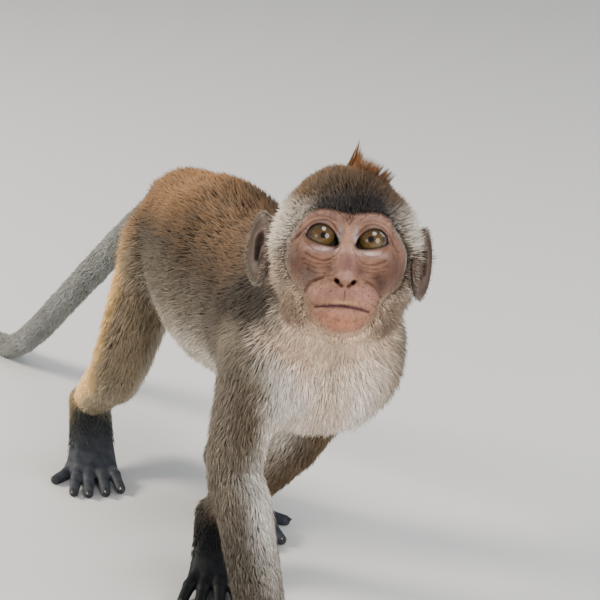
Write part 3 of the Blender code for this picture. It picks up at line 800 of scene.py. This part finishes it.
def ear_places(points):
    """How surely each point is on an ear, how surely on its bare side, and how deep it is in the hollow and in the
    groove inside the rim, where shade is painted.
    """
    found, bare, hollow = np.zeros((3, len(points)))
    for sign in SIDES.values():
        local = (points - np.array(ear_point(sign, 0.0, 0.0, 0.0))) @ np.array(ear_turn(sign)) * (sign, 1.0, 1.0)
        x, y, z = local.T
        share = fit((1.12 - np.sqrt((x / 0.65) ** 2 + (y / 1.35) ** 2 + (z / 1.95) ** 2)) * 6.0)
        inside, within = np.hypot((y + 0.25) / 0.52, (z + 0.1) / 1.0), np.hypot(y / 1.25, z / 1.85)
        # A dark line of painted shade along the groove inside the rim
        groove = 0.6 * hill(within - 0.74, 0.09) * fit(y * 1.5 + 0.8)
        open_side, first = x > -0.08, share > found
        bare = np.where(first, fit((0.98 - within) * 9.0) * open_side, bare)
        hollow = np.where(first, np.maximum(fit((1.1 - inside) * 2.4), groove) * open_side, hollow)
        found = np.maximum(found, share)
    return found * fit((np.abs(head_places(points)[:, 0]) - 3.15) * 5.0), bare, hollow


def skin_colours(points, normals, shares):
    out, on_head = outside_face(points), share_of(shares, "head") > 0.4
    # Under the coat the skin is the coat's colour darkened, as painted shade under the hair, less so near the bare face
    shade = 0.6 + 0.2 * (fit(1.0 - out / 0.8) * on_head)
    black = BLACK_SKIN * ((1 + 0.25 * wobble(points, 7.0, 8)) * (1 + 5.0 * share_of(shares, "foot")))[:, None]
    ears, _, hollow = ear_places(points)
    return paint(
        coat_colours(points, normals, shares) * shade[:, None],
        (fit(0.5 - out / 0.25) * on_head, face_colours(points)),
        (share_of(shares, "hand", "foot") * 1.6, black),
        # The ears' skin, with painted shade in the hollow
        (ears, paint(EAR_SKIN, (hollow, EAR_HOLLOW_SHADE))),
    )


# The meshes.


def add_object(name, data):
    obj = bpy.data.objects.new(name, data)
    bpy.context.scene.collection.objects.link(obj)
    return obj


def make_piece(name, points, faces, colours, material, slot, spread=None):
    """A piece from points in cm, faces of one size, a colour at each point and a place on the unwrap at each corner."""
    mesh = bpy.data.meshes.new(name)
    count, corners = faces.shape
    mesh.vertices.add(len(points))
    mesh.vertices.foreach_set("co", to_frame(points).astype(np.float32).ravel())
    mesh.loops.add(count * corners)
    mesh.loops.foreach_set("vertex_index", faces.astype(np.int32).ravel())
    mesh.polygons.add(count)
    mesh.polygons.foreach_set("loop_start", np.arange(0, count * corners, corners, dtype=np.int32))
    mesh.update(calc_edges=True)
    mesh.validate()
    tone = mesh.color_attributes.new("tone", "FLOAT_COLOR", "POINT")
    tone.data.foreach_set("color", np.hstack([colours, np.ones((len(points), 1))]).astype(np.float32).ravel())
    if spread is not None:
        mesh.uv_layers.new(name="OFBake").data.foreach_set("uv", spread.astype(np.float32).ravel())
    mesh.shade_smooth()
    mesh.materials.append(material)
    obj = add_object(name, mesh)
    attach(obj, "root")
    return obj


# The unwrap: each region is rolled out round its own axis into a tile of a square, given by its corner and its side.
TILES = {"head": (0.01, 0.51, 0.48), "trunk": (0.51, 0.51, 0.48)}
for number, region_name in enumerate([name for name in REGIONS if name not in TILES]):
    TILES[region_name] = (0.01 + number // 3 * 0.165, 0.01 + number % 3 * 0.165, 0.15)


def unwrap(points, faces):
    """A place on the unwrap for each face's corners."""
    middles = points[faces].mean(axis=1)
    region = region_shares(middles).argmax(axis=1)
    spread = np.zeros((*faces.shape, 2))
    for k, (name, start, end, _, _) in enumerate(BONES):
        own, on_head = np.flatnonzero(region == k), name == "head"
        if not len(own):
            continue
        turn = TURN if on_head else np.array((end - start).to_track_quat("Z", "Y").to_matrix())
        base = np.array(HEAD if on_head else start)
        middle, corners = ((p - base) @ turn for p in (middles[own], points[faces[own]]))
        if on_head:
            heading, headings = (np.arctan2(p[..., 0], -p[..., 1]) for p in (middle, corners))
            rise = np.arctan2(corners[..., 2], np.hypot(corners[..., 0], corners[..., 1])) / np.pi + 0.5
        else:
            heading, headings = (np.arctan2(p[..., 1], p[..., 0]) for p in (middle, corners))
            rise = (np.clip(corners[..., 2] / (end - start).length, -0.6, 1.6) + 0.6) / 2.2
        turned = heading[:, None] + (headings - heading[:, None] + np.pi) % (2 * np.pi) - np.pi
        left, low, side = TILES[name]
        spread[own, :, 0] = left + side * (np.clip(turned / (2 * np.pi), -0.5, 0.5) + 0.5)
        spread[own, :, 1] = low + side * rise
    return spread


def face_crosses(points, faces):
    first, second = points[faces[:, 1]] - points[faces[:, 0]], points[faces[:, 2]] - points[faces[:, 0]]
    return np.cross(first, second)


def point_normals(points, faces):
    normals, flat = np.zeros_like(points), face_crosses(points, faces)
    for corner in range(3):
        for axis in range(3):
            normals[:, axis] += np.bincount(faces[:, corner], flat[:, axis], len(points))
    return unit(normals)


SKIN_SHARE = 0.42  # how much of the skin's mesh is kept


def skin_mesh():
    """The skin, folded, thinned out where it is plain and divided into triangles, as points in cm and triangles."""
    points, quads = skin_surface()
    triangles = np.concatenate([quads[:, (0, 1, 2)], quads[:, (0, 2, 3)]])
    points = fold_face(points, point_normals(points, triangles))
    mesh = bpy.data.meshes.new("thick")
    mesh.from_pydata(to_frame(points).tolist(), [], quads.tolist())
    thick = add_object("thick", mesh)
    thick.modifiers.new("thin", "DECIMATE").ratio = SKIN_SHARE
    thick.modifiers.new("triangles", "TRIANGULATE").keep_custom_normals = False
    mesh = bpy.data.meshes.new_from_object(thick.evaluated_get(bpy.context.evaluated_depsgraph_get()))
    bpy.data.objects.remove(thick)
    points, triangles = np.empty(len(mesh.vertices) * 3), np.empty(len(mesh.polygons) * 3, np.int32)
    mesh.vertices.foreach_get("co", points)
    mesh.loops.foreach_get("vertex_index", triangles)
    return (points.reshape(-1, 3) - np.array(SHIFT)) / CM, triangles.reshape(-1, 3)


THICKNESS = 1.6  # how many locks grow for each that coat_measures asks for
EAR_DENSITY, EAR_LENGTH, EAR_DEPTH, FINE_LOCK = 130.0, 0.34, 0.12, 0.012
BARE_RING = 0.12  # how far round the lids no hair grows


def weighted(mix, values):
    """The mean of three corners' values at each place."""
    return np.einsum("nc,nci->ni", mix, values)


def scatter(points, faces, spread):
    """Roots over the skin, close together where the coat is dense, with what is known of each place."""
    middles = points[faces].mean(axis=1)
    density = coat_measures(middles, region_shares(middles))[0]
    ears, bare, _ = ear_places(middles)
    density = density * (1 - ears) + EAR_DENSITY * ears * (1.0 - bare)
    eyes = [np.linalg.norm(middles - np.array(eye_middle(sign)), axis=1) for sign in SIDES.values()]
    density = np.where(np.minimum(*eyes) < EYE_RADIUS + LID + BARE_RING, 0.0, density)
    area = np.linalg.norm(face_crosses(points, faces), axis=1) / 2
    weight = np.cumsum(density * area * THICKNESS)
    count = int(weight[-1])
    face = np.searchsorted(weight, (np.arange(count) + CHANCE.uniform(0.0, 1.0, count)) * weight[-1] / count)
    face = np.minimum(face, len(faces) - 1)
    first, second = CHANCE.uniform(0.0, 1.0, (2, count))
    over = first + second > 1
    first, second = np.where(over, 1 - first, first), np.where(over, 1 - second, second)
    mix = columns(1 - first - second, first, second)
    return weighted(mix, points[faces[face]]), faces[face], mix, weighted(mix, spread[face])


TUFT_FACES = np.array(((0, 2, 1), (0, 3, 2), (0, 1, 3), (4, 1, 2), (4, 2, 3), (4, 3, 1)))
TUFT_SPREAD = np.array(((0.0, -0.0015), (-0.0015, 0.0), (0.0015, 0.0), (0.0, 0.0005), (0.0, 0.0015)))
ROOT_DEPTH, BEND_AT, BEND_HEIGHT, FLOOR_GAP = 0.03, 0.42, 0.9, 0.005


def make_locks(name, material, tile, places, roots, normals, flow, length, rise, width, colours, tips):
    """A piece of closed bent locks, five points each: a root, three points round the bend and a tip."""
    count = len(roots)
    across = np.cross(normals, flow) * width[:, None]
    lean = np.arcsin(np.clip(rise / length, 0.0, 0.95))

    def along(lean, length):
        return roots + length[:, None] * (flow * np.cos(lean)[:, None] + normals * np.sin(lean)[:, None])

    middle = along(np.minimum(lean * 1.5 + 0.1, 1.35), length * BEND_AT)
    top = middle + normals * width[:, None] * BEND_HEIGHT
    points = columns(roots - normals * ROOT_DEPTH, middle + across, middle - across, top, along(lean, length))
    points[..., 2] = np.maximum(points[..., 2], FLOOR_GAP)
    dark = colours * (0.58 + 0.3 * colours.mean(axis=1, keepdims=True))
    tones = columns(dark, colours * 0.92, colours * 0.92, colours, tips)
    faces = np.arange(count)[:, None, None] * 5 + TUFT_FACES
    spread = places[:, None, None, :] + tile * TUFT_SPREAD[TUFT_FACES]
    flat = (array.reshape(-1, array.shape[-1]) for array in (points, faces, tones))
    return make_piece(name, *flat, material, "coat", spread.reshape(-1, 2))


MOST_LOCKS = 33000  # in one piece
GROUPS = {"head": "head", "neck": "neck", "arms": ARM_NAMES, "legs": LEG_NAMES, "tail": "tail", "trunk": "trunk"}
DARK_TONE = 0.33  # coats darker than this get dark locks, and hair on the head paler than this gets ticked ones
DARK_FROM, DARK_SHADE, TICKED_FROM, TICKED_SHADE = 0.84, 0.74, 0.82, 0.68
STUBBLE_SHARE, STUBBLE_SHADE, STUBBLE_PALE, TIP_SHADE = 0.35, 0.55, 1.1, 1.18


def varied(spread, count):
    """Random factors round 1."""
    return np.exp(CHANCE.normal(0.0, spread, count))


def grow_coat(points, faces, spread, material):
    roots, corners, mix, places = scatter(points, faces, spread)
    normals = unit(weighted(mix, point_normals(points, faces)[corners]))
    shares = region_shares(roots)
    _, length, depth, width, out = coat_measures(roots, shares)
    flow = lie(roots, normals, shares)
    count = len(roots)
    spotted = roots + CHANCE.normal(0.0, 0.11, (count, 3))
    ears, head = ear_places(roots)[0], share_of(shares, "head")
    on_ear = ears > 0.5
    length, depth, width = either(on_ear, (EAR_LENGTH, EAR_DEPTH, FINE_LOCK), (length, depth, width))
    colours = paint(coat_colours(spotted, normals, shares), (ears, EAR_HAIR))
    bare = (out < 0) & (head > 0.5) & ~on_ear
    stubble = np.where(CHANCE.uniform(size=count)[:, None] < STUBBLE_SHARE, STUBBLE_SHADE, STUBBLE_PALE)
    on_face = paint(face_colours(roots) * stubble, (1.0 + out / 0.5, colours))
    colours = np.where(bare[:, None], on_face, colours)
    colours *= varied(0.14, count)[:, None] * (1 + 0.15 * wobble(roots, 2.6, 41))[:, None]
    furred = 1 - share_of(shares, "hand", "foot", "tail")
    warm = CHANCE.uniform(size=count) * furred * (colours.mean(axis=1) < DARK_TONE)
    colours = np.where((warm > DARK_FROM)[:, None], colours * DARK_SHADE, colours)
    ticked = (head > 0.5) & (colours.mean(axis=1) > DARK_TONE) & (CHANCE.uniform(size=count) > TICKED_FROM)
    colours = np.where(ticked[:, None], colours * TICKED_SHADE, colours)
    crown = fit((head_places(roots)[:, 2] - 3.0) * 1.3) * fit(head * 2 - 1)
    back = share_of(shares, "trunk") * fit(normals[:, 2] * 1.5 - 0.2)
    tips = paint(colours * TIP_SHADE, (fit(crown * 0.6 + back * 0.3) * (warm < 0.5), TIPS))
    length = length * varied(0.14, count) * (1 + 0.08 * wobble(roots, 4.0, 42))
    rise = depth * np.clip(CHANCE.normal(0.8, 0.22, count), 0.15, 1.25) * (1 + 0.1 * wobble(roots, 3.0, 43))
    rise = np.minimum(rise, depth + 0.12)
    flow = unit(flow + np.cross(normals, flow) * CHANCE.normal(0.0, 0.13, count)[:, None])
    width = width * varied(0.2, count)
    owner = shares.argmax(axis=1)
    for group, starts in GROUPS.items():
        own = np.flatnonzero(np.isin(owner, [k for k, name in enumerate(REGIONS) if name.startswith(starts)]))
        for number, part in enumerate(np.array_split(own, max(1, math.ceil(len(own) / MOST_LOCKS)))):
            made = (places, roots, normals, flow, length, rise, width, colours, tips)
            make_locks(f"coat_{group}_{number + 1}", material, 1.0, *(values[part] for values in made))


# Topknot: long locks that stand up together from the crown, and a fan of shorter ones on its left.
TOPKNOT_LOCKS, FAN_LOCKS = 150, 330
KNOT_DARK, KNOT_WARM, KNOT_TIP = tint(66, 50, 38), tint(150, 98, 52), tint(158, 102, 54)
KNOT_PLACE, KNOT_TILE = np.array((0.25, 0.95)), 0.01  # on the unwrap


def on_crown(x, y):
    """The skin's height over a place on the crown."""
    return 3.85 - ((x / 2.85) ** 2 + ((y - 1.0) / 3.7) ** 2) * 1.4


def grow_topknot(material):
    low, high = (Vector(place) for place in TOPKNOT)
    angle, reach = CHANCE.uniform(0.0, 2 * math.pi, TOPKNOT_LOCKS), np.sqrt(CHANCE.uniform(0.0, 1.0, TOPKNOT_LOCKS))
    knot_x, knot_y = low.x + 0.42 * reach * np.cos(angle), low.y + 0.36 * reach * np.sin(angle)
    spray = columns(0.26 * reach * np.cos(angle), 0.22 * reach * np.sin(angle), 0.45 - reach)
    fan_x, fan_y = CHANCE.uniform(0.1, 1.75, FAN_LOCKS), CHANCE.uniform(-0.7, 1.5, FAN_LOCKS)
    fan_aim = columns(fan_x * 1.3 + 0.25, fan_y + 0.1, on_crown(fan_x, fan_y) + 1.75 - 0.4 * np.abs(fan_x))
    x, y = np.append(knot_x, fan_x), np.append(knot_y, fan_y)
    spots = columns(x, y, on_crown(x, y))
    away = np.concatenate([np.array(high) + spray, fan_aim]) - spots
    count = len(x)
    in_knot = np.arange(count) < TOPKNOT_LOCKS
    length = np.linalg.norm(away, axis=1) * np.where(in_knot, 1.0, 0.85) * CHANCE.uniform(0.75, 1.03, count)
    flow, roots = unit(away) @ TURN.T, np.array(HEAD) + spots @ TURN.T
    sideways = unit(np.cross(flow, TURN[:, 1]))
    colours = paint(KNOT_DARK, (CHANCE.uniform(0.0, 0.7, count), KNOT_WARM))
    tips = paint(colours * 1.1, (CHANCE.uniform(0.0, 0.8, count), KNOT_TIP))
    tips = np.where((~in_knot & (x > 1.1))[:, None], colours * 0.6, tips)
    width, rise = np.where(in_knot, 0.034, 0.032), np.full(count, 1e-4)
    places = KNOT_PLACE + KNOT_TILE * spots[:, :2]
    make_locks("coat_topknot", material, KNOT_TILE, places, roots, sideways, flow, length, rise, width, colours, tips)


def ring_faces(rings, segments):
    """The quads of a sheet of rings, closed round."""
    row, column = np.meshgrid(np.arange(rings - 1), np.arange(segments), indexing="ij")
    first, second = row * segments + column, row * segments + (column + 1) % segments
    return np.stack([first, second, second + segments, first + segments], axis=2).reshape(-1, 4)


# Eyes: a ball with a raised clear front over the iris.
IRIS, PUPIL, CORNEA = 0.7, 0.15, 0.035
RINGS, FRONT_RINGS, FRONT_ANGLE, SEGMENTS = 56, 39, 0.9, 72
GAZE = {"right": (0.075, -0.12), "left": (-0.12, -0.09)}
IRIS_DARK, IRIS_PALE, IRIS_WARM, IRIS_LOW = tint(66, 51, 29), tint(92, 73, 43), tint(84, 54, 28), tint(102, 87, 46)
IRIS_EDGE, PUPIL_COLOUR = tint(36, 31, 22), tint(6, 6, 7)
WHITE_DARK, WHITE_LOW = tint(70, 58, 52), tint(160, 146, 138)


def make_eye(side, sign, material):
    front = np.linspace(0.0, FRONT_ANGLE, FRONT_RINGS + 1)[:-1]
    polar = np.concatenate([front, np.linspace(FRONT_ANGLE, math.pi, RINGS - FRONT_RINGS)])[:, None]
    around = np.linspace(0.0, 2 * math.pi, SEGMENTS, endpoint=False)
    radius = EYE_RADIUS + CORNEA * fit(1 - (polar * EYE_RADIUS / (IRIS + 0.05)) ** 2)
    wide = radius * np.sin(polar)
    grids = np.broadcast_arrays(wide * np.cos(around), -(radius * np.cos(polar)), wide * np.sin(around))
    points = np.stack(grids, axis=2).reshape(-1, 3)
    height = points[:, 2]
    reach, angle = np.repeat(polar * EYE_RADIUS, SEGMENTS), np.tile(around, RINGS)
    fibres = 0.5 + 0.5 * np.sin(angle * 31 + 3 * np.sin(angle * 7)) * np.sin(angle * 17 + 1.0)
    colours = paint(
        IRIS_DARK,
        (fibres * 0.6, IRIS_PALE),
        (hill(reach - 0.22, 0.1) * 0.5, IRIS_WARM),
        (fit(-height / 0.5) * 0.5, IRIS_LOW),
        ((reach - IRIS + 0.14) / 0.15, IRIS_EDGE),
        ((PUPIL - reach) / 0.03 + 0.5, PUPIL_COLOUR),
        ((reach - IRIS + 0.01) / 0.05, paint(WHITE_DARK, ((-height - 0.2) * 4.0, WHITE_LOW))),
    )
    # Painted shade of the upper lid over the top of the eyeball
    colours *= (1.0 - 0.5 * fit((height - 0.12) / 0.35))[:, None]
    across, rise = GAZE[side]
    look = Matrix.Rotation(across / EYE_RADIUS, 3, "Z") @ Matrix.Rotation(-rise / EYE_RADIUS, 3, "X")
    points = points @ np.array(HEAD_TURN @ look).T + np.array(eye_middle(sign))
    piece = make_piece("eyeball_" + side, points, ring_faces(RINGS, SEGMENTS), colours, material, "eye")
    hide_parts("eye_" + side)


NAIL_SIZE, NAIL_RINGS, NAIL_SEGMENTS, NAIL_FORWARD, NAIL_UP = (0.17, 0.26, 0.09), 7, 12, 0.2, 0.25


def make_nails(material):
    """A small curved nail on the top of each digit's end."""
    around, across = np.meshgrid(
        np.linspace(0.0, 2 * math.pi, NAIL_SEGMENTS, endpoint=False), np.linspace(0.05, math.pi - 0.05, NAIL_RINGS)
    )
    shape = np.stack([np.sin(across) * np.cos(around), np.cos(across), np.sin(across) * np.sin(around)], axis=2)
    size = shape.reshape(-1, 3) * NAIL_SIZE
    size[:, 2] -= 0.5 * size[:, 0] ** 2 / NAIL_SIZE[0]
    points, faces = [], []
    for side in SIDES:
        for path, _ in hand_paths(side) + foot_paths(side):
            tip, before = path[-1], path[-2]
            heading = (tip - before).normalized()
            sideways = heading.cross(UP).normalized()
            upward = sideways.cross(heading)
            faces.append(ring_faces(NAIL_RINGS, NAIL_SEGMENTS) + len(size) * len(points))
            place = tip + heading * NAIL_FORWARD + upward * NAIL_UP
            points.append(size @ np.array([sideways, heading, upward]) + np.array(place))
    points, faces = np.concatenate(points), np.concatenate(faces)
    make_piece("nails", points, faces, np.tile(NAIL, (len(points), 1)), material, "nail")


# The materials.

GRAIN_DETAIL, BUMP_DETAIL, BUMP_STRENGTH, NOISE_LOW, NOISE_HIGH = 4.0, 3.0, 0.6, 0.3, 0.7


def feed(tree, node, inputs):
    """Gives a node's inputs their values, or the outputs that feed them."""
    for key, value in inputs.items():
        if isinstance(value, bpy.types.NodeSocket):
            tree.links.new(value, node.inputs[key])
        else:
            node.inputs[key].default_value = value
    return node


def add_node(tree, kind, inputs):
    return feed(tree, tree.nodes.new("ShaderNode" + kind), inputs)


def add_bump(tree, shader, place, distance, *layers):
    """Bump from noises, each with a scale and a share of the height."""
    height = 0.0
    for scale, share in layers:
        noise = add_node(tree, "TexNoise", {"Scale": scale, "Detail": BUMP_DETAIL, "Vector": place}).outputs["Fac"]
        part = add_node(tree, "Math", {})
        part.operation = "MULTIPLY_ADD"
        height = feed(tree, part, {0: noise, 1: share, 2: height}).outputs["Value"]
    bump = add_node(tree, "Bump", {"Distance": distance, "Strength": BUMP_STRENGTH, "Height": height})
    feed(tree, shader, {"Normal": bump.outputs["Normal"]})


def new_material(name, scale, low, high, inputs, bump=()):
    """A Principled material of the piece's own tone between low and high shares of it, with a fine noise and bump."""
    material = bpy.data.materials.new(name)
    material.use_nodes = True
    tree = material.node_tree
    shader = feed(tree, tree.nodes["Principled BSDF"], inputs)
    place = add_node(tree, "TexCoord", {}).outputs["Object"]
    tone = add_node(tree, "Attribute", {})
    tone.attribute_name = "tone"
    noise = add_node(tree, "TexNoise", {"Scale": scale, "Detail": GRAIN_DETAIL, "Vector": place}).outputs["Fac"]
    span = {"Value": noise, "From Min": NOISE_LOW, "From Max": NOISE_HIGH, "To Min": low, "To Max": high}
    mixed = add_node(tree, "Mix", {})
    mixed.data_type, mixed.blend_type = "RGBA", "MULTIPLY"
    shade = add_node(tree, "MapRange", span).outputs["Result"]
    feed(tree, mixed, {"Factor": 1.0, "A": tone.outputs["Color"], "B": shade})
    feed(tree, shader, {"Base Color": mixed.outputs["Result"]})
    if bump:
        add_bump(tree, shader, place, *bump)
    return material


SKIN_LOOK = {
    "Roughness": 0.55,
    "Specular IOR Level": 0.1,
    "Subsurface Weight": 0.12,
    "Subsurface Radius": (0.6, 0.3, 0.2),
    "Subsurface Scale": 0.003,
}
COAT_LOOK = {"Roughness": 0.62, "Specular IOR Level": 0.24}
EYE_LOOK = {"Roughness": 0.25, "Coat Weight": 1.0, "Coat Roughness": 0.02, "Specular IOR Level": 0.0}
SKIN_BUMP, NAIL_BUMP = (0.0006, (350.0, 1.0), (1300.0, 0.5)), (0.0003, (900.0, 1.0))


# The scene: a camera, a floor and lights.

AZIMUTH, ELEVATION, DISTANCE, LENS, SENSOR = -24.0, 20.0, 100.0, 120.0, 36.0
FRAME_X, FRAME_Y = -2.15, 2.5  # the head's place from the middle of the view, right and up, in cm
FLOOR_REACH, FLOOR_TONES = 6.0, ((0.60, 0.595, 0.58, 1.0), (0.64, 0.635, 0.62, 1.0))
LIGHTS = (  # name, place, target, power, size and colour
    ("key", (0.05, -1.35, 1.85), (0.0, -0.15, 0.18), 28.0, 0.9, (1.0, 0.975, 0.94)),
    ("low_right", (-1.6, -1.15, 0.45), (0.0, -0.12, 0.17), 5.0, 0.75, (1.0, 0.98, 0.95)),
    ("low_left", (0.4, -1.95, 0.45), (0.0, -0.12, 0.17), 19.0, 0.95, (1.0, 0.98, 0.95)),
    ("fill", (1.3, -0.6, 1.0), (0.0, -0.1, 0.15), 12.0, 1.0, (0.95, 0.97, 1.0)),
    ("rim", (-1.4, 1.1, 1.0), (0.0, 0.0, 0.2), 68.0, 0.6, (1.0, 0.92, 0.8)),
)


def add_camera():
    a, e = math.radians(AZIMUTH), math.radians(ELEVATION)
    back = Vector((math.sin(a) * math.cos(e), -math.cos(a) * math.cos(e), math.sin(e)))
    right = Vector((math.cos(a), math.sin(a), 0.0))
    up = back.cross(right)
    camera = add_object("camera", bpy.data.cameras.new("camera"))
    camera.location = (HEAD + right * FRAME_X - up * FRAME_Y + back * DISTANCE) * CM + SHIFT
    camera.rotation_euler = Matrix((right, up, back)).transposed().to_euler()
    camera.data.lens, camera.data.sensor_width = LENS, SENSOR
    bpy.context.scene.camera = camera


def add_light(name, place, target, power, size, colour):
    lamp = bpy.data.lights.new(name, "AREA")
    lamp.energy, lamp.size, lamp.color, lamp.shape = power, size, colour, "DISK"
    obj = add_object(name, lamp)
    obj.location = place
    obj.rotation_euler = (Vector(target) - Vector(place)).to_track_quat("-Z", "Y").to_euler()


def add_floor():
    mesh = bpy.data.meshes.new("floor")
    corners = [(x * FLOOR_REACH, y * FLOOR_REACH, 0.0) for x, y in ((-1, -1), (1, -1), (1, 1), (-1, 1))]
    mesh.from_pydata(corners, [], [(0, 1, 2, 3)])
    floor = add_object("floor", mesh)
    material = bpy.data.materials.new("floor")
    material.use_nodes = True
    tree = material.node_tree
    ramp = add_node(tree, "ValToRGB", {"Fac": add_node(tree, "TexNoise", {"Scale": 6.0}).outputs["Fac"]})
    for element, tone in zip(ramp.color_ramp.elements, FLOOR_TONES):
        element.color = tone
    feed(tree, tree.nodes["Principled BSDF"], {"Roughness": 0.7, "Base Color": ramp.outputs["Color"]})
    mesh.materials.append(material)


def add_world():
    world = bpy.data.worlds.new("world")
    bpy.context.scene.world = world
    world.use_nodes = True
    sky = {"Color": (0.9, 0.94, 1.0, 1.0), "Strength": 0.56}
    feed(world.node_tree, world.node_tree.nodes["Background"], sky)


FLESH = ["head", "neck", "chest", "abdomen", "tail_upper", "tail_middle", "tail_lower"]
for name in ("ear", *ARM_NAMES, *LEG_NAMES):
    FLESH += [name + "_right", name + "_left"]

add_camera()
skin_points, skin_faces = skin_mesh()
skin_spread = unwrap(skin_points, skin_faces)
tones = skin_colours(skin_points, point_normals(skin_points, skin_faces), region_shares(skin_points))
flesh = new_material("skin", 420.0, 0.86, 1.12, SKIN_LOOK, SKIN_BUMP)
skin = make_piece("skin", skin_points, skin_faces, tones, flesh, "skin", skin_spread.reshape(-1, 2))
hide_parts(*FLESH)
coat = new_material("coat", 900.0, 0.85, 1.12, COAT_LOOK)
grow_coat(skin_points, skin_faces, skin_spread, coat)
grow_topknot(coat)
eyes = new_material("eye", 1500.0, 0.85, 1.15, EYE_LOOK)
for side_name, direction in SIDES.items():
    make_eye(side_name, direction, eyes)
make_nails(new_material("nail", 700.0, 0.85, 1.15, {"Roughness": 0.3}, NAIL_BUMP))

add_floor()
for light in LIGHTS:
    add_light(*light)
add_world()
